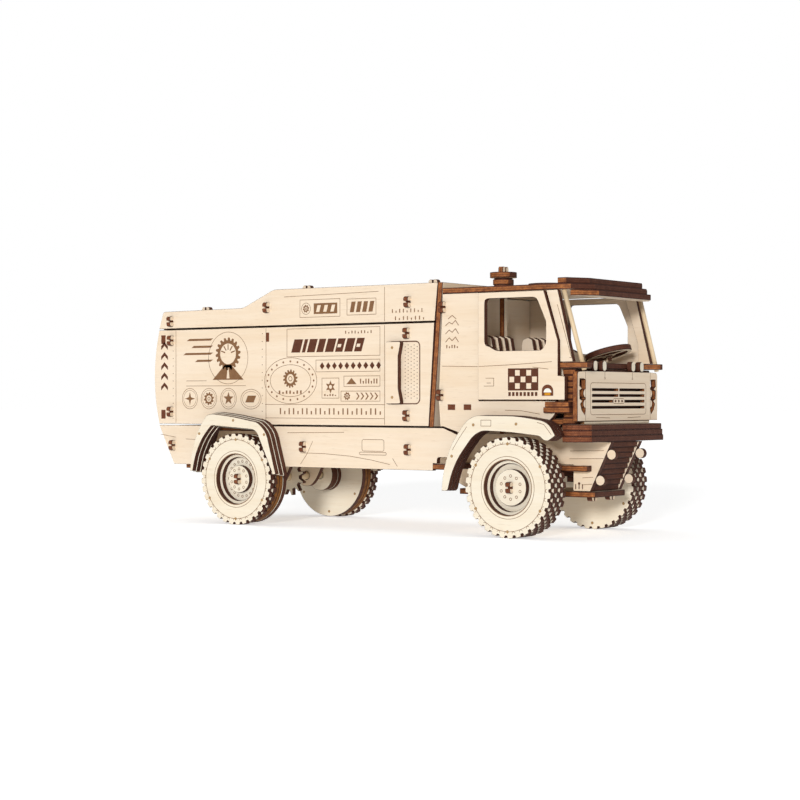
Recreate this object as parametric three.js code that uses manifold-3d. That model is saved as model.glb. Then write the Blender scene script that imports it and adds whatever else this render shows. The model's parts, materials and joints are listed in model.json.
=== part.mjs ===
// A laser-cut plywood kit of a rally truck: cargo body, cab, laminated wheels, a steered
// front axle worked by a knob on the cab roof, hinged doors and a hinged front grille.
// Millimetres. +X runs forward, +Y to the truck's left, +Z up.
import * as THREE from "three";
import { mergeVertices } from "three/addons/utils/BufferGeometryUtils.js";
import Module from "manifold-3d";

const wasm = await Module();
wasm.setup();

// ---- driving dimensions ------------------------------------------------------------
const SHEET = 3.8; // birch plywood, sold as 4 mm
const GAP = 0.3; // room left between neighbouring pieces

const WHEEL_RADIUS = 33;
const WHEEL_WIDTH = 5 * SHEET;
const WHEEL_FACE = 64.5; // outer face of a wheel, from the centre plane
const REAR_AXLE_X = -232.7; // the front axle is at X = 0
const AXLE_RADIUS = 3;
const BORE_RADIUS = AXLE_RADIUS + GAP;

const SIDE_OUT = 54; // outer faces of the cargo and cab sides
const SIDE_IN = SIDE_OUT - SHEET;
const INSIDE = SIDE_IN - GAP; // half width of what stands between the sides
const FENDER_OUT = 66;
const DOOR_OUT = 56.2;
const RAIL_IN = 17.3; // inner faces of the two chassis rails

const TAIL_X = -317.4;
const MIDDLE_BOTTOM = 72.4; // side panels: lower seam and upper seam
const MIDDLE_TOP = 142.6;
const LOWER_BOTTOM = 42.4;
const BODY_TOP = 169.6;
const FLOOR_Z = 67.6; // underside of the cargo floor
const WALL_LEAN = 0.0758; // the cargo body's front wall leans by this much per mm

const CAB_TOP = 161.6;
const CAB_FLOOR_Z = 74.2;
const SILL_Z = 110.8;
const BUMPER_Z = 63;
const GRILLE_X = 42.7;

const KINGPIN_Y = 38;
const STEER_ARM = 12; // the same on both knuckles and on the steering post
const POST_X = -44.4;
const CROSS_X = -61; // the crossmember behind the front axle
const LOWER_PLATE_Z = 25.9;
const UPPER_PLATE_Z = 43.2;
const SLIDER_Z = 37.6;

const GEAR_MODULE = 2.07;
const AXLE_TEETH = 12;
const PINION_TEETH = 8;
const MESH_ANGLE = (73 * Math.PI) / 180; // direction from the axle to the pinion

const SIDES = [["right", -1], ["left", 1]];

const birch = new THREE.MeshStandardMaterial({ color: 0xf6e4c8, roughness: 0.62, metalness: 0 });
const scorched = new THREE.MeshStandardMaterial({ color: 0x6b3a22, roughness: 0.7, metalness: 0 });
const dowelWood = new THREE.MeshStandardMaterial({ color: 0xf0d9ae, roughness: 0.6, metalness: 0 });

const truck = new THREE.Group();
const frame = new THREE.Group(); // the front axle's own frame, inside the whole truck's
truck.add(frame);

// ---- shapes -----------------------------------------------------------------------
// An outline from its corners; a corner's third number is how far it is rounded.
function outline(corners, holes = []) {
  const shape = new THREE.Shape();
  trace(shape, corners);
  shape.holes = holes;
  return shape;
}

function opening(corners) {
  return trace(new THREE.Path(), corners);
}

function trace(path, corners) {
  const points = corners.map(([x, y]) => new THREE.Vector2(x, y));
  corners.forEach(([, , rounding = 0], i) => {
    const corner = points[i];
    const before = points[(i + points.length - 1) % points.length];
    const after = points[(i + 1) % points.length];
    const start = stepTowards(corner, before, rounding);
    const end = stepTowards(corner, after, rounding);
    if (i === 0) path.moveTo(start.x, start.y);
    else path.lineTo(start.x, start.y);
    if (rounding) path.quadraticCurveTo(corner.x, corner.y, end.x, end.y);
  });
  path.closePath();
  return path;
}

function stepTowards(from, to, distance) {
  return from.clone().add(to.clone().sub(from).setLength(distance));
}

function circlePoints(x, y, radius, count) {
  return Array.from({ length: count }, (_, i) => {
    const angle = (2 * Math.PI * i) / count;
    return [x + radius * Math.cos(angle), y + radius * Math.sin(angle)];
  });
}

function roundHole(x, y, radius) {
  return opening(circlePoints(x, y, radius, 20));
}

function rectangle(x0, y0, x1, y1, rounding = 0) {
  return [[x0, y0, rounding], [x1, y0, rounding], [x1, y1, rounding], [x0, y1, rounding]];
}

// The same corners on both sides of the X axis, given once for the left side, front to rear.
function bothSides(corners) {
  const mirrored = corners.map(([x, y, r]) => [x, -y, r]).reverse();
  return [...corners, ...mirrored];
}

// Corners of a strip `half` wide on both sides of the Z axis of a cross sheet.
function acrossStrip(half, bottom, top, rounding = 0) {
  return rectangle(-half, bottom, half, top, rounding);
}

function extruded(shape, thickness, segments = 3) {
  const settings = { depth: thickness, bevelEnabled: false, curveSegments: segments };
  return new THREE.ExtrudeGeometry(shape, settings);
}

function add(name, geometry, material = birch) {
  const mesh = new THREE.Mesh(geometry, material);
  mesh.name = name;
  frame.add(mesh);
  return mesh;
}

// A sheet lying flat: its outline is in X and Y, its underside is at z.
function flatSheet(name, shape, z, thickness = SHEET, material = birch) {
  const mesh = add(name, extruded(shape, thickness), material);
  mesh.position.z = z;
  return mesh;
}

// A sheet standing lengthwise: its outline is in X and Z, and it reaches from y to y + thickness.
function sideSheet(name, shape, y, thickness = SHEET, material = birch) {
  const mesh = add(name, extruded(shape, thickness), material);
  mesh.rotation.x = Math.PI / 2;
  mesh.position.y = y + thickness;
  return mesh;
}

// A sheet standing across: its outline is in Y and Z, and it reaches from x to x + thickness.
function crossSheet(name, shape, x, thickness = SHEET, material = birch) {
  const mesh = add(name, extruded(shape, thickness), material);
  mesh.rotation.set(Math.PI / 2, Math.PI / 2, 0);
  mesh.position.x = x;
  return mesh;
}

// A standing pair, one on each side; `inner` is how far the inner faces are from the centre.
function sidePair(name, makeShape, inner, thickness = SHEET, material = birch) {
  for (const [side, sign] of SIDES) {
    const y = sign > 0 ? inner : -inner - thickness;
    sideSheet(`${name}_${side}`, makeShape(), y, thickness, material);
  }
}

// ---- joining with manifold-3d --------------------------------------------------------
function solid(geometry) {
  const bare = geometry.index ? geometry.toNonIndexed() : geometry.clone();
  bare.deleteAttribute("normal");
  bare.deleteAttribute("uv");
  const merged = mergeVertices(bare, 1e-4);
  const vertProperties = new Float32Array(merged.attributes.position.array);
  const triVerts = new Uint32Array(merged.index.array);
  return new wasm.Manifold(new wasm.Mesh({ numProp: 3, vertProperties, triVerts }));
}

function joined(geometries) {
  const whole = geometries.map(solid).reduce((sum, next) => sum.add(next));
  const mesh = whole.getMesh();
  const geometry = new THREE.BufferGeometry();
  geometry.setAttribute("position", new THREE.Float32BufferAttribute(mesh.vertProperties, 3));
  geometry.setIndex(Array.from(mesh.triVerts));
  geometry.computeVertexNormals();
  return geometry;
}

function block(x0, x1, y0, y1, z0, z1) {
  const box = new THREE.BoxGeometry(x1 - x0, y1 - y0, z1 - z0);
  return box.translate((x0 + x1) / 2, (y0 + y1) / 2, (z0 + z1) / 2);
}

function uprightPin(x, y, z0, z1, radius, segments = 20) {
  const pin = new THREE.CylinderGeometry(radius, radius, z1 - z0, segments);
  return pin.rotateX(Math.PI / 2).translate(x, y, (z0 + z1) / 2);
}

function crosswisePin(x, z, y0, y1, radius, segments = 20) {
  const pin = new THREE.CylinderGeometry(radius, radius, y1 - y0, segments);
  return pin.translate(x, (y0 + y1) / 2, z);
}

// A spur gear with straight-sided teeth, its axis along Y, its first tooth at `phase`.
function gearWheel(teeth, x, z, y0, width, phase) {
  const pitch = (teeth * GEAR_MODULE) / 2;
  const root = pitch - 1.15 * GEAR_MODULE;
  const tip = pitch + 0.9 * GEAR_MODULE;
  const pace = (2 * Math.PI) / teeth;
  const corners = [];
  for (let i = 0; i < teeth; i += 1) {
    const middle = phase + i * pace;
    for (const [radius, share] of [[root, -0.31], [tip, -0.09], [tip, 0.09], [root, 0.31]]) {
      const angle = middle + share * pace;
      corners.push([radius * Math.cos(angle), radius * Math.sin(angle)]);
    }
  }
  return extruded(outline(corners), width).rotateX(Math.PI / 2).translate(x, y0 + width, z);
}

// ---- chassis ------------------------------------------------------------------------
function chassis() {
  const pinion = pinionPlace();
  const rail = () => outline(
    [
      [-295.4, 48], [-245, 46, 4], [-242, 30, 4], [REAR_AXLE_X - 4, 25, 3], [REAR_AXLE_X + 4, 25, 3],
      [-223.4, 30, 4], [-214, 47.3, 4], [-88, 47.3, 4], [-66, 32, 3], [-61, 30], [-52, 30],
      [-50, 47.3], [24, 47.3], [24, 30], [36.8, 30], [52.8, 62.7],
      [30, 62.7, 3], [24, 67.3, 3], [-295.4, 67.3],
    ],
    [
      roundHole(REAR_AXLE_X, WHEEL_RADIUS, BORE_RADIUS),
      roundHole(pinion.x, pinion.z, BORE_RADIUS),
      opening(rectangle(CROSS_X - 5.3, UPPER_PLATE_Z - GAP, CROSS_X + 5.3, UPPER_PLATE_Z + 4.1)),
    ],
  );
  sidePair("chassis_rail", rail, RAIL_IN);

  // The stack of short sheets between the rails' front ends, behind the slanted valance.
  const stack = [[51.9, 62.7], [41.8, 62.7], [28.4, 30], [35.9, 30]];
  sideSheet("valance_stack", outline(stack), -RAIL_IN + GAP, 2 * (RAIL_IN - GAP), scorched);

  flatSheet("crossmember_front", outline(rectangle(CROSS_X - 5, -55, CROSS_X + 5, 55, 1)), UPPER_PLATE_Z);
  flatSheet("underrun_bar", outline(rectangle(-300, -44, -289, 44, 2)), 39.2, SHEET, scorched);
}

// The plates above and below the two steering knuckles, with an ear round each kingpin.
function axlePlates() {
  const ear = [
    [6.6, 32, 2], [6.6, KINGPIN_Y + 4, 1.5], [3.2, KINGPIN_Y + 6.6, 1.5],
    [-3.2, KINGPIN_Y + 6.6, 1.5], [-6.6, KINGPIN_Y + 4, 1.5], [-6.6, 32, 2],
  ];
  const kingpins = () => [-1, 1].map((sign) => roundHole(0, sign * KINGPIN_Y, 2.5 + GAP));
  const slotIn = RAIL_IN - GAP;
  const slotOut = RAIL_IN + SHEET + GAP;

  const lower = bothSides([
    [40, 21.3, 2], [14, 21.3, 3], ...ear, [-9, 26, 2], [-13, 12, 2], [-46, 12, 2], [-50, 29, 2],
    [-62, 29, 2],
  ]);
  flatSheet("axle_lower_plate", outline(lower, kingpins()), LOWER_PLATE_Z);

  const upper = bothSides([
    [28, slotIn], [23.6, slotIn], [23.6, slotOut], [38, slotOut], [38, 28, 2], [14, 28, 3],
    ...ear, [-9, 26, 2],
  ]);
  flatSheet("axle_upper_plate", outline(upper, kingpins()), UPPER_PLATE_Z);
}

// ---- cargo body ---------------------------------------------------------------------
function cargoBody() {
  flatSheet("cargo_floor", outline(rectangle(-302.7, -INSIDE, -70.5, INSIDE)), FLOOR_Z);
  const wallFoot = FLOOR_Z + SHEET + GAP;
  crossSheet("bulkhead_front", outline(acrossStrip(INSIDE, wallFoot, 164.5)), -88.9);

  const back = (z) => -62.1 - WALL_LEAN * (BODY_TOP - z);
  const foot = MIDDLE_BOTTOM - GAP;
  const frontWall = [
    [back(foot), foot], [back(foot) + SHEET, foot],
    [back(BODY_TOP) + SHEET, BODY_TOP], [back(BODY_TOP), BODY_TOP],
  ];
  sideSheet("cargo_front_wall", outline(frontWall), -SIDE_OUT, 2 * SIDE_OUT, scorched);

  acrossSlab("cargo_roof_front", [[-205.2, 164.8], [-63.2, 164.8], [-62.9, 168.6], [-205.2, 168.6]]);
  acrossSlab("cargo_roof_ramp", [[-234.2, 152], [-205.5, 164.5], [-205.5, 168.3], [-234.2, 155.8]]);
  acrossSlab("cargo_roof_rear", [[-308.4, 151.9], [-234.5, 151.9], [-234.5, 155.7], [-308.4, 155.7]]);
  acrossSlab("tail_panel_upper", [[-312.9, 143], [-316.7, 143], [-312.6, 155.7], [-308.8, 155.7]]);
  acrossSlab("tail_panel_middle", [[-315, 73], [-311.2, 73], [-311.2, 142.7], [-315, 142.7]]);
  acrossSlab("tail_panel_lower", [[-316.3, 71.2], [-312, 71.2], [-297.4, 43.4], [-301.7, 43.4]]);

  sidePair("side_panel_upper", () => outline([
    [TAIL_X, MIDDLE_TOP + 1.1], [-313.2, 156.4, 2], [-234.7, 157.1, 3], [-205.8, BODY_TOP, 3],
    [-62.4, BODY_TOP], [-64.9, MIDDLE_TOP + 1.1],
  ]), SIDE_IN);
  sidePair("side_panel_middle", () => outline([
    [TAIL_X, MIDDLE_BOTTOM], [-320.9, 88, 8], [-322.5, 107.8, 10], [-320.9, 127, 8],
    [TAIL_X, MIDDLE_TOP], [-65.2, MIDDLE_TOP], [-69.8, MIDDLE_BOTTOM],
  ]), SIDE_IN);
  sidePair("side_panel_lower_rear", () => outline([
    [TAIL_X, MIDDLE_BOTTOM - 1], [-302.3, LOWER_BOTTOM], [-271, LOWER_BOTTOM], [-259, MIDDLE_BOTTOM - 1],
  ]), SIDE_IN);
  sidePair("side_panel_lower_front", () => outline([
    [-209, MIDDLE_BOTTOM - 1], [-196.8, LOWER_BOTTOM], [CROSS_X - 5.3, LOWER_BOTTOM],
    [CROSS_X - 5.3, UPPER_PLATE_Z + 4.1], [CROSS_X - 2, UPPER_PLATE_Z + 4.1],
    [CROSS_X - 2, UPPER_PLATE_Z + 8.3, 2], [CROSS_X + 7.5, UPPER_PLATE_Z + 8.3, 2],
    [CROSS_X + 7.5, LOWER_BOTTOM], [-48, LOWER_BOTTOM], [-43.6, 66], [-58.1, MIDDLE_BOTTOM - 1],
  ]), SIDE_IN);

  sidePair("air_scoop", () => outline([
    [-103.4, 87.7, 1.5], [-90.4, 87.7, 1.5], [-92.6, 98], [-92.6, 120], [-90.4, 130.1, 1.5],
    [-103.4, 130.1, 1.5],
  ]), SIDE_OUT + GAP);
}

// A sheet that reaches across between the body sides; its section is in X and Z.
function acrossSlab(name, corners, material = birch) {
  return sideSheet(name, outline(corners), -INSIDE, 2 * INSIDE, material);
}

function fenders() {
  const depth = FENDER_OUT - SIDE_OUT - GAP;
  sidePair("rear_fender", () => outline([
    [-275.5, 38.2], [-273.6, 54, 7], [-266.6, 70.5, 7], [-259.2, 79.3, 2.5], [-254, 80, 2],
    [-236, 78.4, 8], [-211, 74.2, 3], [-203, 67.6, 5], [-194.2, 37.4],
    [-196.6, 37.3], [-211.4, 67, 2], [-215, 69.2, 2], [-254.8, 71.8, 1.5], [-263.5, 63, 6],
    [-270.4, 50, 6], [-273.1, 38.2],
  ]), SIDE_OUT + GAP, depth);
  sidePair("front_fender", () => outline([
    [-51.1, 29.8], [-50, 42, 7], [-44, 60, 8], [-33, 74.8, 3.5], [-27.2, 78.8, 2.5], [-23, 80, 1.8],
    [8, 79.8, 8], [27.8, 76.9, 3], [33, 74, 2.5], [37, 67.4, 0.8], [31.5, 63.8, 1.5], [28.4, 64.4, 1],
    [25.2, 67.1, 1.5], [1, 69.5, 8], [-19, 70.1, 3], [-26, 66.6, 4], [-37.7, 52.3, 6],
    [-43.4, 41, 6], [-45.9, 31], [-47.2, 29.8],
  ]), SIDE_OUT + GAP, depth);
}

// ---- cab ----------------------------------------------------------------------------
function cab() {
  const postHole = () => [roundHole(POST_X, 0, 3.4)];
  flatSheet("cab_floor", outline(rectangle(-57.4, -INSIDE, 33, INSIDE), postHole()), CAB_FLOOR_Z);
  const rearWallFoot = CAB_FLOOR_Z + SHEET + GAP;
  crossSheet("cab_rear_wall", outline(acrossStrip(INSIDE, rearWallFoot, CAB_TOP - GAP)), -57.6);

  sidePair("cab_side", () => outline([
    [-58.4, CAB_TOP], [-61.7, 90], [-60.3, 72.3], [-57.8, 72.3], [-41.9, 67.3], [-33, 67.3], [-24, 76.5],
    [25, 76.5, 2], [29.9, 81, 2], [29.9, 89.6], [-29.2, 89.6], [-29.2, CAB_TOP],
  ]), SIDE_IN);
  sidePair("a_pillar", () => outline([
    [23, CAB_TOP], [31.6, CAB_TOP], [43.1, 114.9], [33.6, 114.9], [33.4, 128.5],
  ]), SIDE_IN);

  const roof = bothSides([[48.2, 35.3], [40, 51.6], [34, SIDE_OUT, 2], [-58.3, SIDE_OUT]]);
  const layer = SHEET + 0.2;
  const roofBottom = CAB_TOP + 0.2;
  const roofSheet = extruded(outline(roof, postHole()), SHEET).translate(0, 0, roofBottom);
  const hatchSink = 0.5; // how far the hatch disc reaches into the roof it is glued to
  const hatch = extruded(outline(circlePoints(-8.4, 0, 13.5, 40)), SHEET + hatchSink);
  add("cab_roof", joined([roofSheet, hatch.translate(0, 0, roofBottom + SHEET - hatchSink)]), scorched);
  const visor = (front, halfWidth) => outline(bothSides([
    [front, 35.3], [front - 8.5, halfWidth], [38, halfWidth],
  ]));
  flatSheet("visor_lower", visor(51.5, 48.5), roofBottom - layer, SHEET, scorched);
  const upperVisor = bothSides([[44.7, 35.3], [36.4, 51.2], [30, 51.2]]);
  flatSheet("visor_upper", outline(upperVisor), roofBottom + layer, SHEET, scorched);

  const dowelHoles = [-1, 1].map((sign) => roundHole(47.9, sign * 49.2, 2.4));
  const sill = bothSides([
    [42.4, 38], [52, 45.4, 0.6], [53, 48.4, 0.8], [52, 51.2, 1], [49.6, 53.2, 1], [46, SIDE_OUT, 1],
    [33.5, SIDE_OUT],
  ]);
  flatSheet("windscreen_sill", outline(sill, dowelHoles), SILL_Z);
  windscreenDowels();
  nose();
  interior();
}

// Round rods that carry the front of the roof, from under the sill to the roof.
function windscreenDowels() {
  for (const [side, sign] of SIDES) {
    const foot = new THREE.Vector3(48.7, sign * 49.1, 109.7);
    const top = new THREE.Vector3(34.5, sign * 50.6, CAB_TOP - 0.4);
    const run = top.clone().sub(foot);
    const cylinder = new THREE.CylinderGeometry(1.5, 1.5, run.length(), 16);
    const rod = add(`windscreen_dowel_${side}`, cylinder, dowelWood);
    rod.position.copy(foot).add(top).multiplyScalar(0.5);
    rod.quaternion.setFromUnitVectors(new THREE.Vector3(0, 1, 0), run.normalize());
  }
}

// The stack of sheets behind the grille with a block on each side below the door, and the bumper.
function nose() {
  const pieces = [block(33.4, GRILLE_X - GAP, -50, 50, 74.8, SILL_Z - GAP)];
  for (const [, sign] of SIDES) {
    const reach = (near, far) => [Math.min(sign * near, sign * far), Math.max(sign * near, sign * far)];
    pieces.push(block(33.4, 42.1, ...reach(49, 57), 81.9, 89.1));
    pieces.push(block(22.7, 34, ...reach(SIDE_OUT + GAP, 57), 81.9, 89.1));
  }
  add("nose_stack", joined(pieces), scorched);

  const bumper = bothSides([
    [54, 50, 3], [45, 58, 3], [40, 58], [38.5, SIDE_OUT], [35.3, SIDE_OUT], [35.3, 50], [41, 48],
  ]);
  flatSheet("bumper", outline(bumper), BUMPER_Z, 3 * SHEET, scorched);
}

function interior() {
  const dash = [[16, 98], [33, 98], [33, 110.4], [24, 115], [16, 110]];
  sideSheet("dashboard", outline(dash), -INSIDE + 2, 2 * INSIDE - 4);

  const profile = [[-36, 81], [6, 81], [8, 99, 3], [-24, 97, 4], [-30, 133, 3], [-37, 133, 3]];
  const pieces = [block(-36, 6, -40, 40, 78.3, 82)];
  for (const y of [-40, 12]) {
    pieces.push(extruded(outline(profile), 28).rotateX(Math.PI / 2).translate(0, y + 28, 0));
  }
  add("seat_pair", joined(pieces));
}

// ---- pieces that move ------------------------------------------------------------------
function doors() {
  sidePair("door", () => outline(
    [
      [-28.4, 90.3], [38.3, 90.3], [38.3, 105.5], [33.1, 106], [33.1, 128.4], [22.3, 161.3],
      [-28.4, 161.3],
    ],
    [opening([
      [-23.3, 126.1, 3], [-23.3, 157.2, 3], [16.9, 157.2, 3], [24.2, 141], [24.2, 127, 2], [21, 122.5, 2],
      [-14, 122.5, 3], [-20.7, 126.1, 2],
    ])],
  ), DOOR_OUT - SHEET);
}

function grille() {
  const slots = [96.3, 92.7, 89, 85.3].map((z) => opening(rectangle(-35, z - 0.75, 35, z + 0.75)));
  const lamps = [-1, 1].map((sign) => {
    const [near, far] = [sign * 42, sign * 51.5].sort((a, b) => a - b);
    return opening(rectangle(near, 82, far, 104, 3));
  });
  const plate = outline(acrossStrip(SIDE_OUT, 76.5, 109, 1.5), [...slots, ...lamps]);
  crossSheet("grille", plate, GRILLE_X);
}

// Half section of a wheel: radius and distance out from the inner face. The outer dish leaves
// a rim, a hub and a floor; a boss stands inward by `boss`.
function wheelShape({ rimIn, hubOut, dishDepth, hubHeight, boss }) {
  const floor = WHEEL_WIDTH - dishDepth;
  const section = [
    [BORE_RADIUS, -boss], [12, -boss], [12, boss ? 0 : -boss], [WHEEL_RADIUS, 0],
    [WHEEL_RADIUS, WHEEL_WIDTH], [rimIn, WHEEL_WIDTH], [rimIn, floor], [hubOut, floor],
    [hubOut, floor + hubHeight], [BORE_RADIUS, floor + hubHeight], [BORE_RADIUS, -boss],
  ];
  const corners = section.filter(([r, y], i) => {
    const last = section[i - 1];
    return !last || last[0] !== r || last[1] !== y;
  });
  return new THREE.LatheGeometry(corners.map(([r, y]) => new THREE.Vector2(r, y)), 48);
}

function wheels() {
  const kinds = {
    front: { x: 0, rimIn: 18, hubOut: 12, dishDepth: 8, hubHeight: 4, boss: 0 },
    rear: { x: REAR_AXLE_X, rimIn: 18, hubOut: 10, dishDepth: 8, hubHeight: 4, boss: 3 * SHEET },
  };
  for (const [kind, sizes] of Object.entries(kinds)) {
    for (const [side, sign] of SIDES) {
      const wheel = add(`${kind}_wheel_${side}`, wheelShape(sizes));
      wheel.position.set(sizes.x, sign * (WHEEL_FACE - WHEEL_WIDTH), WHEEL_RADIUS);
      if (sign < 0) wheel.rotation.z = Math.PI;
    }
  }
}

function pinionPlace() {
  const distance = ((AXLE_TEETH + PINION_TEETH) * GEAR_MODULE) / 2;
  return {
    x: REAR_AXLE_X + distance * Math.cos(MESH_ANGLE),
    z: WHEEL_RADIUS + distance * Math.sin(MESH_ANGLE),
  };
}

// The driven rear axle with its gear, and the pinion shaft above it.
function rearDrive() {
  const axleEnd = WHEEL_FACE - 6;
  add("rear_axle", joined([
    crosswisePin(REAR_AXLE_X, WHEEL_RADIUS, -axleEnd, axleEnd, AXLE_RADIUS),
    gearWheel(AXLE_TEETH, REAR_AXLE_X, WHEEL_RADIUS, -SHEET, SHEET, MESH_ANGLE),
  ]), scorched);

  const { x, z } = pinionPlace();
  const facing = MESH_ANGLE + Math.PI + Math.PI / PINION_TEETH; // a gap faces the axle's tooth
  add("pinion_shaft", joined([
    crosswisePin(x, z, -RAIL_IN - 6, RAIL_IN + 6, AXLE_RADIUS),
    gearWheel(PINION_TEETH, x, z, -3 * SHEET, 4 * SHEET, facing),
  ]), scorched);
}

// The hub carrier of a front wheel: kingpin, stub axle, and a steering arm with its pin.
function knuckles() {
  for (const [side, sign] of SIDES) {
    const span = (near, far) => [near, far].map((y) => sign * y).sort((a, b) => a - b);
    const armTop = SLIDER_Z - GAP - 0.3;
    const parts = [
      uprightPin(0, sign * KINGPIN_Y, LOWER_PLATE_Z + SHEET + GAP, UPPER_PLATE_Z - GAP, 5.5, 24),
      uprightPin(0, sign * KINGPIN_Y, LOWER_PLATE_Z + 0.4, UPPER_PLATE_Z + SHEET - 0.4, 2.5),
      crosswisePin(0, WHEEL_RADIUS, ...span(KINGPIN_Y, WHEEL_FACE - 6), AXLE_RADIUS),
      block(-STEER_ARM - 2.4, 0, ...span(KINGPIN_Y - 2.4, KINGPIN_Y + 2.4), armTop - 4, armTop),
      uprightPin(-STEER_ARM, sign * KINGPIN_Y, armTop - 1, UPPER_PLATE_Z - 0.9, 1.6, 16),
    ];
    add(`steering_knuckle_${side}`, joined(parts));
  }
}

// The tie bar that both knuckles' pins and the steering post's pin ride in. It slides sideways.
function steeringSlider() {
  const pinSlot = (x, y) => opening(rectangle(x - 1.6 - 0.6, y - 2.1, x + 1.6 + 1.6, y + 2.1, 0.8));
  const slots = [
    pinSlot(-STEER_ARM, KINGPIN_Y), pinSlot(-STEER_ARM, -KINGPIN_Y),
    opening(rectangle(POST_X + STEER_ARM - 3.2, -2.1, POST_X + STEER_ARM + 2.2, 2.1, 0.8)),
  ];
  const bar = bothSides([[-6, KINGPIN_Y + 5, 2], [-17.5, KINGPIN_Y + 5, 2], [-17.5, 5, 2], [-38.6, 5, 2]]);
  flatSheet("steering_slider", outline(bar, slots), SLIDER_Z);
}

// A square post from the roof knob down to a crank under the cab; its pin moves the tie bar.
function steeringPost() {
  const crankTop = SLIDER_Z - GAP - 0.3;
  const half = SHEET / 2;
  const knobFoot = CAB_TOP + 0.2 + SHEET + GAP;
  const knobTop = knobFoot + 12.6;
  add("steering_post", joined([
    block(POST_X - half, POST_X + half, -half, half, 32, knobTop),
    block(POST_X - 3, POST_X + STEER_ARM + 2.4, -2.4, 2.4, crankTop - 4, crankTop),
    uprightPin(POST_X + STEER_ARM, 0, crankTop - 1, SLIDER_Z + SHEET + 1, 1.6, 16),
    uprightPin(POST_X, 0, knobFoot, knobTop - SHEET + 0.1, 7.2, 32),
    uprightPin(POST_X, 0, knobTop - SHEET, knobTop, 9.3, 32),
    block(POST_X - half, POST_X + half, -3.7, 3.7, knobTop - 1, knobTop + 3.9),
  ]));
}

// The driver's steering wheel, a ring with three spokes that leans back, on a short column.
function steeringWheel() {
  const spokes = 3;
  const sector = (2 * Math.PI) / spokes;
  const ring = outline(circlePoints(0, 0, 16, 40));
  for (let i = 0; i < spokes; i += 1) {
    const gap = new THREE.Path();
    gap.absarc(0, 0, 12.8, i * sector + 0.15, (i + 1) * sector - 0.15, false);
    gap.absarc(0, 0, 5, (i + 1) * sector - 0.4, i * sector + 0.4, true);
    gap.closePath();
    ring.holes.push(gap);
  }
  const flat = extruded(ring, SHEET, 6).translate(0, 0, -SHEET / 2);
  const wheel = add("steering_wheel", joined([flat, uprightPin(0, 0, -5.4, 0, 2.5)]));
  wheel.position.set(25, 24, 122);
  wheel.rotation.y = (-16 * Math.PI) / 180;
}

chassis();
axlePlates();
cargoBody();
fenders();
cab();
doors();
grille();
wheels();
rearDrive();
knuckles();
steeringSlider();
steeringPost();
steeringWheel();

// The origin is under the middle of the whole truck.
const box = new THREE.Box3().setFromObject(truck);
frame.position.x = -(box.min.x + box.max.x) / 2;

export default truck;
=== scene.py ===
"""Looks of a laser-cut plywood rally truck kit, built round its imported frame."""
import json
import math
import random

import bmesh
import bpy
from mathutils import Matrix, Vector
from mathutils.geometry import tessellate_polygon


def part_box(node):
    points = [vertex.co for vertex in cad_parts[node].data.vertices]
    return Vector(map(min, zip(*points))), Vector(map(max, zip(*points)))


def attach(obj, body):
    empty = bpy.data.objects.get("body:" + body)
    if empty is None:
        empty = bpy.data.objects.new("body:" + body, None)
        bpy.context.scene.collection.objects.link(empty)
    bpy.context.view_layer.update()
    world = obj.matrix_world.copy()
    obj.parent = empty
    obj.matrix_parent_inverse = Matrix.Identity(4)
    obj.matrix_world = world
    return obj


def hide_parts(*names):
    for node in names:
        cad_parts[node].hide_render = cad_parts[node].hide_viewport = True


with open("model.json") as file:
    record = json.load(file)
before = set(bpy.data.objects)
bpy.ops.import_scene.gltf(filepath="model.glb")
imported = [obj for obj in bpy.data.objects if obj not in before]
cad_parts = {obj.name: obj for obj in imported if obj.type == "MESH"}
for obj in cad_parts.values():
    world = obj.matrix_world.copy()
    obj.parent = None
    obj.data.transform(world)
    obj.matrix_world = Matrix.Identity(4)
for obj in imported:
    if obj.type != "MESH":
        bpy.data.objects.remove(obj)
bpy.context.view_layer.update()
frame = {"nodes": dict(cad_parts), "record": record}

MM = 0.001
SHEET = 3.8  # one sheet of plywood, in millimetres
BODY_SIDE = 54.0  # outer face of the cargo and cab sides
WHEEL_FACE = 64.5  # outer face of a wheel
GRILLE_X = 42.7  # back of the grille
CARGO_TOP = 168.6  # top of the cargo roof
TAIL_BACK = -315.0  # rear face of the tail's middle panel
DOOR_FACE = 56.2  # outer face of a door
SCOOP_FACE = 58.1  # outer face of an air scoop
FENDER_FACE = 66.0  # outer face of a mudguard
RAIL_FACE = 21.1  # outer face of a chassis rail
KINGPIN_Y = 38.0
POST_X = -44.4  # the steering post
STEERING_WHEEL = (25, 24, 122)  # middle of the driver's wheel
WHEEL_LEAN = -16  # degrees that the driver's wheel leans
TYRE_TEETH = 32
TOOTH_DEPTH = 1.7
RIM = 0.2  # width of the scorched rim round a cut face
LINE_WIDTH = 0.34  # width of an engraved line
TONES = random.Random(7)  # every sheet gets a tone and a place in the grain of its own
AXES = {"X": 0, "Y": 1, "Z": 2}
SIDES = (("right", -1), ("left", 1))
BURNT = {"valance_stack", "underrun_bar", "cargo_front_wall", "cab_roof", "visor_lower",
         "visor_upper", "nose_stack", "bumper", "rear_axle", "pinion_shaft"}

wheel_low, wheel_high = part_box("front_wheel_right")
FRONT_AXLE = (wheel_low.x + wheel_high.x) / 2
WHEEL_R = (wheel_high.z - wheel_low.z) / 2 / MM
rear_low, rear_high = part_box("rear_wheel_right")
REAR_X = ((rear_low.x + rear_high.x) / 2 - FRONT_AXLE) / MM


def at(x, y, z):
    """A point of the truck: millimetres forward of the front axle, to the left, and up."""
    return Vector((FRONT_AXLE + x * MM, y * MM, z * MM))


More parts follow.
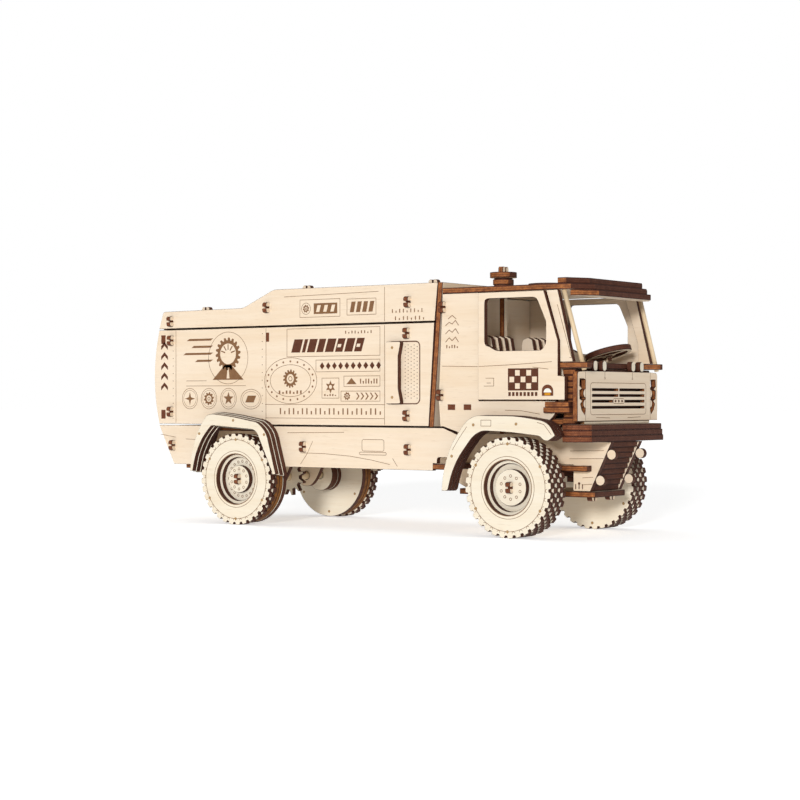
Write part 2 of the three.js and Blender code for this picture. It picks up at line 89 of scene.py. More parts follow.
def srgb(r, g, b):
    """A colour given as it looks on a screen, 0 to 255, as the linear value a shader takes."""
    def linear(c):
        c = c / 255
        return c / 12.92 if c <= 0.04045 else ((c + 0.055) / 1.055) ** 2.4
    return (linear(r), linear(g), linear(b), 1.0)


# ---------------------------------------------------------------- camera, floor and light
def camera():
    scene = bpy.context.scene
    scene.view_settings.view_transform = "Standard"
    camera = bpy.data.objects.new("camera", bpy.data.cameras.new("camera"))
    camera.data.lens = 84.9
    camera.data.sensor_width = 36
    camera.data.clip_start = 0.05
    camera.location = at(660.9, -1102.3, 90.2)
    camera.rotation_euler = (math.radians(90), 0, math.radians(35.75))
    scene.collection.objects.link(camera)
    scene.camera = camera


def white_world():
    """Plain white to the camera, and a soft fill of less strength to everything else."""
    world = bpy.data.worlds.new("white studio")
    bpy.context.scene.world = world
    world.use_nodes = True
    tree = world.node_tree
    tree.nodes.clear()
    path = tree.nodes.new("ShaderNodeLightPath")
    seen = tree.nodes.new("ShaderNodeBackground")
    seen.inputs["Strength"].default_value = 1.0
    lit = tree.nodes.new("ShaderNodeBackground")
    lit.inputs["Color"].default_value = (1.0, 0.99, 0.97, 1)
    lit.inputs["Strength"].default_value = 0.32
    seen.inputs["Color"].default_value = (1, 1, 1, 1)
    mix = tree.nodes.new("ShaderNodeMixShader")
    out = tree.nodes.new("ShaderNodeOutputWorld")
    tree.links.new(path.outputs["Is Camera Ray"], mix.inputs[0])
    tree.links.new(lit.outputs[0], mix.inputs[1])
    tree.links.new(seen.outputs[0], mix.inputs[2])
    tree.links.new(mix.outputs[0], out.inputs["Surface"])


def white_floor():
    """A pale floor that shows brighter to the camera than the light it throws on the truck."""
    floor_mesh = bpy.data.meshes.new("floor")
    reach = 12.0
    corners = [(-reach, -reach, 0), (reach, -reach, 0), (reach, reach, 0), (-reach, reach, 0)]
    floor_mesh.from_pydata(corners, [], [(0, 1, 2, 3)])
    floor = bpy.data.objects.new("floor", floor_mesh)
    bpy.context.scene.collection.objects.link(floor)
    pale = bpy.data.materials.new("pale floor")
    pale.use_nodes = True
    shader = pale.node_tree.nodes["Principled BSDF"]
    shader.inputs["Base Color"].default_value = (0.93, 0.94, 0.95, 1)
    shader.inputs["Roughness"].default_value = 0.9
    shader.inputs["Specular IOR Level"].default_value = 0.0
    shader.inputs["Emission Color"].default_value = (1, 1, 1, 1)
    path = pale.node_tree.nodes.new("ShaderNodeLightPath")
    glow = pale.node_tree.nodes.new("ShaderNodeMapRange")
    glow.inputs["To Min"].default_value = 0.36
    glow.inputs["To Max"].default_value = 0.5
    pale.node_tree.links.new(path.outputs["Is Camera Ray"], glow.inputs["Value"])
    pale.node_tree.links.new(glow.outputs["Result"], shader.inputs["Emission Strength"])
    floor_mesh.materials.append(pale)


def sun(name, towards, strength, softness):
    """A distant light standing in the given direction; softness is its size in degrees."""
    data = bpy.data.lights.new(name, "SUN")
    data.energy = strength
    data.angle = math.radians(softness)
    lamp = bpy.data.objects.new(name, data)
    lamp.location = Vector(towards)
    lamp.rotation_euler = (-Vector(towards)).to_track_quat("-Z", "Y").to_euler()
    bpy.context.scene.collection.objects.link(lamp)


# ---------------------------------------------------------------- shader building
def shader_node(tree, kind, inputs=None, **settings):
    """A node with its settings, and its inputs set to values or joined to other sockets."""
    made = tree.nodes.new("ShaderNode" + kind)
    for key, value in settings.items():
        setattr(made, key, value)
    for key, value in (inputs or {}).items():
        if isinstance(value, bpy.types.NodeSocket):
            tree.links.new(value, made.inputs[key])
        else:
            made.inputs[key].default_value = value
    return made


def math_node(tree, operation, *values):
    return shader_node(tree, "Math", dict(enumerate(values)), operation=operation).outputs[0]


def mixed(tree, factor, first, second):
    made = shader_node(tree, "Mix", data_type="RGBA")
    for socket, value in ((0, factor), (6, first), (7, second)):
        if isinstance(value, bpy.types.NodeSocket):
            tree.links.new(value, made.inputs[socket])
        else:
            made.inputs[socket].default_value = value
    return made.outputs[2]


def ramp(tree, value, low, high):
    """value spread so that low becomes 0 and high becomes 1, clamped."""
    made = shader_node(tree, "MapRange", {"Value": value, "From Min": low, "From Max": high})
    return made.outputs["Result"]


def group_tree(name, inputs, outputs):
    tree = bpy.data.node_groups.new(name, "ShaderNodeTree")
    for label, kind in inputs:
        tree.interface.new_socket(label, in_out="INPUT", socket_type="NodeSocket" + kind)
    for label, kind in outputs:
        tree.interface.new_socket(label, in_out="OUTPUT", socket_type="NodeSocket" + kind)
    entry = tree.nodes.new("NodeGroupInput")
    leave = tree.nodes.new("NodeGroupOutput")
    return tree, entry, leave


def noise(tree, vector, scale, detail=3.0, roughness=0.55, distortion=0.0):
    made = shader_node(tree, "TexNoise", {
        "Vector": vector, "Scale": scale, "Detail": detail, "Roughness": roughness,
        "Distortion": distortion})
    return made.outputs["Fac"]


def veneer_group():
    """Birch face veneer: long streaks, broad bands and short pores along the vector's X."""
    tree, entry, leave = group_tree(
        "birch veneer",
        [("Vector", "Vector"), ("Tone", "Float"), ("Light", "Color"), ("Dark", "Color")],
        [("Color", "Color"), ("Roughness", "Float"), ("Height", "Float")])
    vector = entry.outputs["Vector"]
    streaks = noise(tree, vector, 420.0, 4.0, 0.6, 0.2)
    bands = noise(tree, vector, 55.0, 2.0, 0.5, 1.2)
    pores = noise(tree, vector, 1500.0, 2.0, 0.5)
    tone = math_node(tree, "ADD", math_node(tree, "MULTIPLY", ramp(tree, streaks, 0.35, 0.75), 0.45),
                     math_node(tree, "MULTIPLY", ramp(tree, bands, 0.4, 0.72), 0.4))
    tone = math_node(tree, "ADD", tone, math_node(tree, "MULTIPLY", entry.outputs["Tone"], 0.15))
    base = mixed(tree, tone, entry.outputs["Light"], entry.outputs["Dark"])
    specks = math_node(tree, "MULTIPLY", ramp(tree, pores, 0.62, 0.75), 0.22)
    shade = mixed(tree, specks, base, srgb(166, 136, 100))
    tree.links.new(shade, leave.inputs["Color"])
    rough = math_node(tree, "ADD", math_node(tree, "MULTIPLY", streaks, 0.18), 0.5)
    tree.links.new(rough, leave.inputs["Roughness"])
    tree.links.new(math_node(tree, "SUBTRACT", streaks, specks), leave.inputs["Height"])
    return tree


def scorch_group():
    """A laser-cut edge: veneers told apart by Sheets, the depth through the stack in sheets."""
    tree, entry, leave = group_tree(
        "scorched edge",
        [("Vector", "Vector"), ("Sheets", "Float"), ("Char", "Color"), ("Core", "Color")],
        [("Color", "Color"), ("Roughness", "Float"), ("Height", "Float")])
    vector = entry.outputs["Vector"]
    depth = math_node(tree, "FRACT", entry.outputs["Sheets"])
    from_middle = math_node(tree, "ABSOLUTE", math_node(tree, "SUBTRACT", depth, 0.5))
    wander = math_node(tree, "MULTIPLY", math_node(tree, "SUBTRACT", noise(tree, vector, 150.0), 0.5), 0.25)
    veneer = ramp(tree, math_node(tree, "ADD", from_middle, wander), 0.38, 0.26)
    middle = ramp(tree, math_node(tree, "ADD", from_middle, wander), 0.02, 0.12)
    veneer = math_node(tree, "MULTIPLY", veneer, math_node(tree, "MULTIPLY_ADD", middle, 0.55, 0.45))
    patches = ramp(tree, noise(tree, vector, 260.0, 4.0, 0.6), 0.32, 0.68)
    burn = ramp(tree, noise(tree, vector, 1400.0, 2.0), 0.3, 0.75)
    light = math_node(tree, "MULTIPLY", veneer, math_node(tree, "MULTIPLY_ADD", patches, 0.75, 0.25))
    light = math_node(tree, "MULTIPLY", light, math_node(tree, "MULTIPLY_ADD", burn, 0.5, 0.5))
    base = mixed(tree, light, entry.outputs["Char"], entry.outputs["Core"])
    glue = ramp(tree, from_middle, 0.44, 0.5)
    tree.links.new(mixed(tree, math_node(tree, "MULTIPLY", glue, 0.75), base, srgb(28, 15, 11)),
                   leave.inputs["Color"])
    tree.links.new(math_node(tree, "MULTIPLY_ADD", burn, -0.15, 0.72), leave.inputs["Roughness"])
    tree.links.new(math_node(tree, "ADD", burn, light), leave.inputs["Height"])
    return tree


VENEER = veneer_group()
SCORCH = scorch_group()


def finish_shader(material, group, bump, specular):
    """Joins a group's outputs to the material's own shader."""
    tree = material.node_tree
    shader = tree.nodes["Principled BSDF"]
    shader.inputs["Specular IOR Level"].default_value = specular
    tree.links.new(group.outputs["Color"], shader.inputs["Base Color"])
    tree.links.new(group.outputs["Roughness"], shader.inputs["Roughness"])
    raised = shader_node(tree, "Bump", {
        "Height": group.outputs["Height"], "Strength": bump, "Distance": 0.0002})
    tree.links.new(raised.outputs["Normal"], shader.inputs["Normal"])


def veneer_material(name, grain, light, dark):
    """Face veneer whose grain runs along X, Y or Z."""
    material = bpy.data.materials.new(name)
    material.use_nodes = True
    tree = material.node_tree
    along = {"X": (0, 0, 0), "Y": (0, 0, -math.pi / 2), "Z": (0, math.pi / 2, 0)}[grain]
    coordinates = shader_node(tree, "TexCoord").outputs["Object"]
    turned = shader_node(tree, "Mapping", {"Vector": coordinates, "Rotation": along}).outputs[0]
    drawn = shader_node(tree, "Mapping", {"Vector": turned, "Scale": (0.07, 1, 1)}).outputs[0]
    tone = shader_node(tree, "Attribute", attribute_name="tone").outputs["Fac"]
    shift = shader_node(tree, "CombineXYZ", {"X": tone, "Y": tone, "Z": tone}).outputs[0]
    drawn = shader_node(tree, "VectorMath", {0: drawn, 1: shift}, operation="ADD").outputs[0]
    group = shader_node(tree, "Group", node_tree=VENEER)
    tree.links.new(drawn, group.inputs["Vector"])
    tree.links.new(tone, group.inputs["Tone"])
    group.inputs["Light"].default_value = light
    group.inputs["Dark"].default_value = dark
    finish_shader(material, group, 0.25, 0.3)
    return material


def scorch_material(name, char, core):
    material = bpy.data.materials.new(name)
    material.use_nodes = True
    tree = material.node_tree
    group = shader_node(tree, "Group", node_tree=SCORCH)
    tree.links.new(shader_node(tree, "TexCoord").outputs["Object"], group.inputs["Vector"])
    sheets = shader_node(tree, "Attribute", attribute_name="sheets").outputs["Fac"]
    tree.links.new(sheets, group.inputs["Sheets"])
    group.inputs["Char"].default_value = char
    group.inputs["Core"].default_value = core
    finish_shader(material, group, 0.6, 0.25)
    return material


BIRCH_LIGHT = srgb(230, 213, 191)
BIRCH_DARK = srgb(221, 197, 167)
FACE = {axis: veneer_material("birch face " + axis, axis, BIRCH_LIGHT, BIRCH_DARK) for axis in "XYZ"}
PALE = {axis: veneer_material("pale birch face " + axis, axis, srgb(230, 221, 203), srgb(222, 206, 180))
        for axis in "XZ"}
EDGE = scorch_material("scorched edge", srgb(64, 32, 22), srgb(106, 62, 42))
# Painted light: a paler copy of the scorched edge, for cut edges that face the sides where the key light
# falls.
EDGE_PAINTED_LIT = scorch_material("lightly scorched edge", srgb(84, 42, 26), srgb(196, 124, 66))
EDGE_GOLD = scorch_material("golden edge", srgb(92, 52, 20), srgb(176, 116, 44))
LINE = scorch_material("engraved line", srgb(118, 82, 54), srgb(150, 114, 78))
LENS = veneer_material("lamp lens", "Z", srgb(236, 234, 226), srgb(226, 222, 210))
DEEP = scorch_material("deep engraving", srgb(78, 40, 24), srgb(116, 68, 42))
PIN = scorch_material("wooden pin end", srgb(150, 116, 72), srgb(206, 176, 128))
AMBER = scorch_material("amber lamp", srgb(196, 130, 20), srgb(222, 160, 40))
DOWEL = veneer_material("beech dowel", "Z", srgb(226, 206, 174), srgb(212, 184, 142))
# Tenon ends; on the bumper it is also the colour of the side-facing cut edges, as painted light.
TENON_AND_LIT_EDGE = scorch_material("tenon end", srgb(84, 42, 26), srgb(150, 88, 52))


# ---------------------------------------------------------------- mesh building
def circle(u, v, radius, count=40, second=None):
    """Points of a circle, or of an oval when a second radius is given."""
    other = radius if second is None else second
    turns = [2 * math.pi * i / count for i in range(count)]
    return [(u + radius * math.cos(t), v + other * math.sin(t)) for t in turns]


def box_outline(u0, v0, u1, v1):
    return [(u0, v0), (u1, v0), (u1, v1), (u0, v1)]


def turned_area(loop):
    return sum(a[0] * b[1] - b[0] * a[1] for a, b in zip(loop, loop[1:] + loop[:1])) / 2


def shifted(loop, distance, closed=True):
    """The loop moved to the left of its own direction, with mitred corners."""
    moved = []
    count = len(loop)
    for i, here in enumerate(loop):
        ends = [(loop[i - 1], here), (here, loop[(i + 1) % count])]
        if not closed and i == 0:
            ends = ends[1:]
        if not closed and i == count - 1:
            ends = ends[:1]
        normals = []
        for (au, av), (bu, bv) in ends:
            run = math.hypot(bu - au, bv - av) or 1.0
            normals.append(((av - bv) / run, (bu - au) / run))
        nu = sum(n[0] for n in normals)
        nv = sum(n[1] for n in normals)
        size = math.hypot(nu, nv) or 1.0
        nu, nv = nu / size, nv / size
        lean = max(0.45, nu * normals[0][0] + nv * normals[0][1])
        moved.append((here[0] + nu * distance / lean, here[1] + nv * distance / lean))
    return moved


class Piece:
    def __init__(self, name, local=False):
        self.name = name
        self.place = (lambda *point: Vector(point) * MM) if local else at
        self.mesh = bmesh.new()
        self.sheets = self.mesh.verts.layers.float.new("sheets")
        self.tone = self.mesh.verts.layers.float.new("tone")
        self.materials = []

    def slot(self, material):
        if material not in self.materials:
            self.materials.append(material)
        return self.materials.index(material)

    def solid(self, vertices, faces, materials, depth=None):
        """Adds a closed shell; `materials` has one for each face, `depth` one number a vertex."""
        tone = TONES.random()
        made = [self.mesh.verts.new(self.place(*v)) for v in vertices]
        for i, vertex in enumerate(made):
            vertex[self.sheets] = depth[i] if depth else 0.5
            vertex[self.tone] = tone
        new = []
        for corners, material in zip(faces, materials):
            face = self.mesh.faces.new([made[i] for i in corners])
            face.material_index = self.slot(material)
            new.append(face)
        bmesh.ops.recalc_face_normals(self.mesh, faces=new)
        return new

    def plate(self, axis, outline, low, high, face=None, edge=None, holes=(), rim=RIM, lit=None,
              hole_edge=None):
        """A sheet square to `axis`, from low to high along it, its outline in the other two.

        The cut edge is scorched, and so is a narrow rim round each face. Edges that look to the
        side take the `lit` material, a paler copy with painted light on it; holes can have a cut edge of
        their own.
        """
        face = face or FACE["Y" if axis == "X" else "X"]
        edge = edge or EDGE
        thick = high - low
        loops = []
        for i, loop in enumerate([outline, *holes]):
            loop = list(loop)
            if (turned_area(loop) > 0) != (i == 0):
                loop.reverse()
            loops.append(loop)
        inner = [shifted(loop, rim) for loop in loops] if rim else loops
        vertices, depth = [], []
        rings = [(inner, low), (loops, low + rim), (loops, high - rim), (inner, high)]
        if not rim:
            rings = [rings[0], rings[3]]
        for these, level in rings:
            for loop in these:
                for u, v in loop:
                    vertices.append({"X": (level, u, v), "Y": (u, level, v), "Z": (u, v, level)}[axis])
                    depth.append((level - low) / SHEET if thick > 1 else 0.5)
        count = sum(len(loop) for loop in loops)
        top = count * (len(rings) - 1)
        triangles = tessellate_polygon([[Vector((u, v, 0)) for u, v in loop] for loop in inner])
        faces = [tuple(t) for t in triangles] + [tuple(i + top for i in t) for t in triangles]
        materials = [face] * len(faces)
        for ring in range(len(rings) - 1):
            start = ring * count
            for n, loop in enumerate(loops):
                size = len(loop)
                for i in range(size):
                    a, b = start + i, start + (i + 1) % size
                    faces.append((a, b, b + count, a + count))
                    materials.append(hole_edge if n and hole_edge else edge)
                start += size
        new = self.solid(vertices, faces, materials, depth)
        if lit:
            self.light_up(new, edge, lit)
        return new

    def light_up(self, faces, edge, lit):
        """Gives the cut edges that look to the side a paler copy of their material, as painted light."""
        cut, pale = self.slot(edge), self.slot(lit)
        for f in faces:
            f.normal_update()
            if f.material_index == cut and abs(f.normal.y) > 0.5:
                f.material_index = pale

    def rod(self, start, end, radius, material):
        """A round stick between two points."""
        count = 24
        a, b = Vector(start), Vector(end)
        along = (b - a).normalized()
        across = along.orthogonal().normalized()
        other = along.cross(across)
        ring = [math.cos(t) * across + math.sin(t) * other
                for t in (2 * math.pi * i / count for i in range(count))]
        vertices = [tuple(a + r * radius) for r in ring] + [tuple(b + r * radius) for r in ring]
        faces = [(i, (i + 1) % count, (i + 1) % count + count, i + count) for i in range(count)]
        faces += [tuple(range(count)), tuple(range(count, 2 * count))]
        new = self.solid(vertices, faces, [material] * (count + 2))
        for f in new[:count]:
            f.smooth = True
        return new

    def turn(self, faces, pivot, matrix):
        """Turns what was just added about a point."""
        vertices = {v for f in faces for v in f.verts}
        middle = at(*pivot)
        for v in vertices:
            v.co = middle + matrix @ (v.co - middle)

    def done(self, body="root", replaces=(), slot="birch_ply"):
        bmesh.ops.triangulate(self.mesh, faces=[f for f in self.mesh.faces if len(f.verts) > 4])
        data = bpy.data.meshes.new(self.name)
        self.mesh.to_mesh(data)
        self.mesh.free()
        for material in self.materials:
            data.materials.append(material)
        thing = bpy.data.objects.new(self.name, data)
        bpy.context.scene.collection.objects.link(thing)
        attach(thing, body)
        if replaces:
            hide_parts(*replaces)
        return thing


class Engraving:
    """Scorched marks on one flat face, a hair proud of it, drawn in that face's own two axes."""

    def __init__(self, piece, axis, level, outward):
        self.piece, self.axis = piece, axis
        self.level, self.outward = level, outward
        self.low, self.high = sorted((level - 0.03 * outward, level + 0.04 * outward))

    def fill(self, outline, holes=(), material=None):
        material = material or LINE
        self.piece.plate(self.axis, outline, self.low, self.high, material, material, holes, rim=0)

    def line(self, points, width=LINE_WIDTH):
        left, right = shifted(points, width / 2, False), shifted(points, -width / 2, False)
        self.fill(left + right[::-1])

    def loop(self, points, width=LINE_WIDTH, material=None):
        if turned_area(points) < 0:
            points = points[::-1]
        self.fill(shifted(points, -width / 2), [shifted(points, width / 2)], material)

    def ring(self, u, v, radius, width=LINE_WIDTH, second=None, count=40):
        other = radius if second is None else second
        half = width / 2
        self.fill(circle(u, v, radius + half, count, other + half),
                  [circle(u, v, radius - half, count, other - half)])

    def box(self, u0, v0, u1, v1):
        self.loop(box_outline(u0, v0, u1, v1))


def body_of(node):
    for body, members in frame["record"]["behaviour"]["bodies"].items():
        if node in members:
            return body
    return "root"


def slot_of(node):
    if node.startswith("windscreen_dowel"):
        return "dowel"
    return "burnt_ply" if node in BURNT else "birch_ply"


def cap_loops(node, axis, level=None):
    """The outlines of a sheet's flat end, largest first, in millimetres, and its two levels."""
    k = AXES[axis]
    origin = at(0, 0, 0)
    bm = bmesh.new()
    bm.from_mesh(frame["nodes"][node].data)
    bmesh.ops.remove_doubles(bm, verts=bm.verts, dist=2e-6)
    heights = [(v.co[k] - origin[k]) / MM for v in bm.verts]
    low, high = min(heights), max(heights)
    wanted = high if level is None else level
    cap = set()
    for f in bm.faces:
        here = (f.calc_center_median()[k] - origin[k]) / MM
        if abs(f.normal[k]) > 0.99 and abs(here - wanted) < 0.02:
            cap.add(f)
    follow = {}
    for f in cap:
        for loop in f.loops:
            if sum(g in cap for g in loop.edge.link_faces) == 1:
                follow[loop.vert] = loop.link_loop_next.vert
    loops = []
    while follow:
        start = here = next(iter(follow))
        points = []
        while here in follow:
            place = [(c - o) / MM for c, o in zip(here.co, origin)]
            points.append(tuple(place[i] for i in range(3) if i != k))
            here = follow.pop(here)
            if here is start:
                break
        loops.append(points)
    bm.free()
    loops.sort(key=lambda loop: -abs(turned_area(loop)))
    return loops, low, high


def sheets_of(node, axis, layers=1, face=None, lit=None, grow=()):
    """A sheet, or a glued stack of equal sheets, with the CAD's outline."""
    loops, low, high = cap_loops(node, axis)
    piece = Piece(node + "_ply")
    thick = (high - low) / layers
    for i in range(layers):
        wider = grow[i] if i < len(grow) else 0
        these = []
        for n, loop in enumerate(loops):
            outward = -wider if (turned_area(loop) > 0) == (n == 0) else wider
            these.append(shifted(loop, outward) if wider else loop)
        piece.plate(axis, these[0], low + i * thick, low + (i + 1) * thick, face, holes=these[1:],
                    lit=lit)
    return piece


def done_for(piece, node):
    return piece.done(body_of(node), (node,), slot_of(node))


def slab(node):
    """A rectangular sheet that leans: the CAD's own shape, its two largest faces as veneer."""
    piece = Piece(node + "_ply")
    bm = piece.mesh
    bm.from_mesh(frame["nodes"][node].data)
    bmesh.ops.remove_doubles(bm, verts=bm.verts, dist=2e-6)
    bmesh.ops.dissolve_limit(bm, angle_limit=math.radians(0.6), verts=bm.verts, edges=bm.edges)
    largest = sorted(bm.faces, key=lambda f: f.calc_area())[-2:]
    normal = largest[0].normal.copy()
    veneer, cut = piece.slot(FACE["Y"]), piece.slot(EDGE)
    for f in bm.faces:
        f.material_index = veneer if f in largest else cut
    border = [e for e in bm.edges if any(f in largest for f in e.link_faces)]
    bmesh.ops.bevel(bm, geom=border, offset=RIM * MM, offset_type="OFFSET", segments=1, profile=0.5,
                    affect="EDGES", clamp_overlap=True, material=cut)
    depths = [v.co.dot(normal) for v in bm.verts]
    low = min(depths)
    tone = TONES.random()
    for v in bm.verts:
        v[piece.sheets] = (v.co.dot(normal) - low) / (SHEET * MM)
        v[piece.tone] = tone
    piece.light_up(list(bm.faces), EDGE, EDGE_PAINTED_LIT)
    return done_for(piece, node)


# ---------------------------------------------------------------- sheets of the frame
def body_sheets():
    for side, sign in SIDES:
        for name in ("side_panel_upper", "side_panel_middle", "side_panel_lower_rear",
                     "side_panel_lower_front", "cab_side", "a_pillar", "air_scoop"):
            done_for(sheets_of(f"{name}_{side}", "Y"), f"{name}_{side}")
        rail = sheets_of(f"chassis_rail_{side}", "Y")
        near, far = sorted((sign * (RAIL_FACE - SHEET), sign * RAIL_FACE))
        for x, z in ((52.8, 54.5), (44.4, 37.3)):
            rail.plate("Y", circle(x, z, 3.35), near, far)
        done_for(rail, f"chassis_rail_{side}")
    for name in ("cargo_floor", "cargo_roof_front", "cab_floor", "underrun_bar", "axle_lower_plate",
                 "axle_upper_plate", "steering_slider", "crossmember_front"):
        done_for(sheets_of(name, "Z", lit=EDGE_PAINTED_LIT), name)
    for name in ("visor_lower", "visor_upper"):
        done_for(sheets_of(name, "Z", lit=EDGE_PAINTED_LIT), name)
    _, roof_low, hatch_top = cap_loops("cab_roof", "Z")
    loops, _, _ = cap_loops("cab_roof", "Z", roof_low)
    roof = Piece("cab_roof_ply")
    roof.plate("Z", loops[0], roof_low, roof_low + SHEET, holes=loops[1:], lit=EDGE_PAINTED_LIT)
    roof.plate("Z", circle(-8.4, 0, 13.3, 56), roof_low + SHEET, hatch_top, PALE["X"], EDGE)
    done_for(roof, "cab_roof")
    sill = Piece("windscreen_sill_ply")
    half = [(42.4, 38), (51.6, 45), (52.8, 46.6), (53, 48.4), (52, 51.2), (49.6, 53.2), (46, 54), (33.5, 54)]
    outline = [(x, -y) for x, y in half[::-1]] + half
    sill.plate("Z", outline, 110.8, 114.6, lit=EDGE_PAINTED_LIT)
    done_for(sill, "windscreen_sill")
    for name in ("bulkhead_front", "cab_rear_wall"):
        done_for(sheets_of(name, "X"), name)
    for name in ("cargo_roof_ramp", "cargo_roof_rear", "tail_panel_upper", "tail_panel_middle",
                 "tail_panel_lower", "cargo_front_wall"):
        slab(name)


def fenders():
    """Three sheets each; the rear ones widen a little towards the body, the front ones do not."""
    for side, sign in SIDES:
        for name, step in (("rear_fender", 0.7), ("front_fender", 0.12)):
            node = f"{name}_{side}"
            grow = [i * step for i in range(3)][::-sign]
            done_for(sheets_of(node, "Y", 3, PALE["X"], grow=grow), node)


def bumper():
    piece = Piece("bumper_ply")
    half = [(54, 50, 58), (53.6, 49.5, 57), (53, 49, 56)]
    for i, (front, corner, wide) in enumerate(half):
        low = 63 + i * SHEET
        side = [(front, -corner + 1.5), (front, corner - 1.5), (front - 1, corner), (45.5, wide - 1),
                (44, wide), (40, wide), (38.5, 54), (35.3, 54), (35.3, 50), (41, 48),
                (41, -48), (35.3, -50), (35.3, -54), (38.5, -54), (40, -wide), (44, -wide),
                (45.5, -wide + 1), (front - 1, -corner)]
        # The bumper's side-facing cut edges take the tenon-end colour as painted light.
        piece.plate("Z", side, low, low + SHEET, lit=TENON_AND_LIT_EDGE)
    done_for(piece, "bumper")


def valance():
    piece = Piece("valance_stack_ply")
    layers = 9
    for i in range(layers):
        low, high = 30 + i * 32.7 / layers, 30 + (i + 1) * 32.7 / layers
        front = 35.9 + 16 * (i + 0.5) / layers - (0.5 if i % 2 else 0)
        piece.plate("Z", box_outline(front - 7.5, -16.9, front, 16.9), low, high, EDGE, EDGE)
    done_for(piece, "valance_stack")


def nose_stack():
    piece = Piece("nose_stack_ply")
    steps = [(42.4, 50), (41.2, 49), (42.4, 50), (41.6, 49.4), (42.4, 50), (41, 49), (42.2, 50),
             (41.4, 49.2), (42.4, 50)]
    for i, (front, wide) in enumerate(steps):
        low = 74.8 + i * 35.6 / 9
        piece.plate("Z", box_outline(33.4, -wide, front, wide), low, low + 35.6 / 9, EDGE, EDGE,
                    lit=EDGE_PAINTED_LIT)
    for _, sign in SIDES:
        for i in range(2):
            near, far = sorted((sign * 54.3, sign * (57 - i * 0.6)))
            low, high = 81.9 + i * 3.6, 81.9 + (i + 1) * 3.6
            piece.plate("Z", box_outline(22.7 + i * 0.8, near, 42.1 - i, far), low, high, EDGE, EDGE,
                        lit=EDGE_PAINTED_LIT)
            near, far = sorted((sign * 50, sign * 54.3))
            piece.plate("Z", box_outline(33.4, near, 42.1 - i, far), low, high, EDGE, EDGE,
                        lit=EDGE_PAINTED_LIT)
    piece.plate("X", box_outline(-44, 74.6, 44, 76.3), 42.5, 45.6, PALE["Z"], LINE)
    done_for(piece, "nose_stack")


def grille():
    piece = Piece("grille_ply")
    outline = [(-54, 76.5), (54, 76.5), (54, 107), (53, 108.5), (44, 109), (-44, 109), (-53, 108.5),
               (-54, 107)]
    reach = 35.3
    holes = []
    for row, z in enumerate((97.0, 93.2, 89.4, 85.4)):
        if row == 3:
            holes.append(box_outline(-reach, z - 0.75, reach, z + 0.75))
        else:
            for sign in (-1, 1):
                ends = sorted((sign * (8 if row == 2 else 0.9), sign * reach))
                holes.append(box_outline(ends[0], z - 0.75, ends[1], z + 0.75))
    for sign in (-1, 1):
        holes.append([(sign * y, z) for y, z in lamp_opening()])
    piece.plate("X", outline, GRILLE_X, GRILLE_X + SHEET, FACE["Y"], holes=holes, lit=EDGE_PAINTED_LIT)
    marks = Engraving(piece, "X", GRILLE_X + SHEET, 1)
    frame_line = rounded_box(-37.6, 80.6, 37.6, 101.4, 2.5)
    marks.loop(frame_line)
    for sign in (-1, 1):
        marks.line([(sign * 43.8, 76.9), (sign * 43.8, 108.6)])
        marks.line([(sign * 18.6, 108.6), (sign * 18.6, 105.2)])
        marks.ring(sign * 18.6, 104.5, 0.6)
        marks.line([(sign * 30, 78.8), (sign * 12, 78.4)])
    marks.loop(rounded_box(-7.2, 87.9, 7.2, 91.1, 1.2))
    for y in (-4.4, 0, 4.4):
        marks.fill([(y - 1.5, 89.5), (y, 88.5), (y + 1.5, 89.5), (y, 90.5)], (), DEEP)
    done_for(piece, "grille")


def lamp_opening():
    """The scalloped lamp hole: two half discs stand into it from the inside, two points from
    the outside."""
    inner = [(43.6, 103.2)]
    for z in (94.6, 87.8):
        inner += [(43.6 + 2.9 * math.cos(t), z + 2.9 * math.sin(t))
                  for t in (math.pi / 2 - math.pi * i / 10 for i in range(11))]
    outer = [(45, 80.6), (48.6, 83.6), (50.4, 87.6), (47.8, 89.6), (51.2, 91), (51.6, 96.4),
             (48.4, 97.6), (51.6, 99.4), (51.2, 104), (46, 104)]
    return (inner + outer)[::-1]


def rounded_box(u0, v0, u1, v1, radius):
    points = []
    for u, v, turn in ((u1 - radius, v1 - radius, 0), (u0 + radius, v1 - radius, 1),
                       (u0 + radius, v0 + radius, 2), (u1 - radius, v0 + radius, 3)):
        for i in range(6):
            t = math.pi / 2 * (turn + i / 5)
            points.append((u + radius * math.cos(t), v + radius * math.sin(t)))
    return points


def tooth_ring(u, v, teeth, tip, root, shift=0.0, top=0.55, steps=8):
    """A ring of flat-topped teeth as points; `top` is the share of the pitch a tooth takes."""
    flank = 0.05  # share of the pitch that a tooth's side takes
    points = []
    for i in range(teeth * steps):
        t = (i / steps) % 1
        rise = min(1.0, max(0.0, min(t, top - t) / flank + 0.5)) if t < top + flank else 0.0
        radius = root + (tip - root) * rise
        angle = 2 * math.pi * (i / steps + shift) / teeth
        points.append((u + radius * math.cos(angle), v + radius * math.sin(angle)))
    return points


# ---------------------------------------------------------------- wheels
def tyre_outline(x, shift):
    return tooth_ring(x, WHEEL_R, TYRE_TEETH, WHEEL_R, WHEEL_R - TOOTH_DEPTH, shift, 0.64, 16)


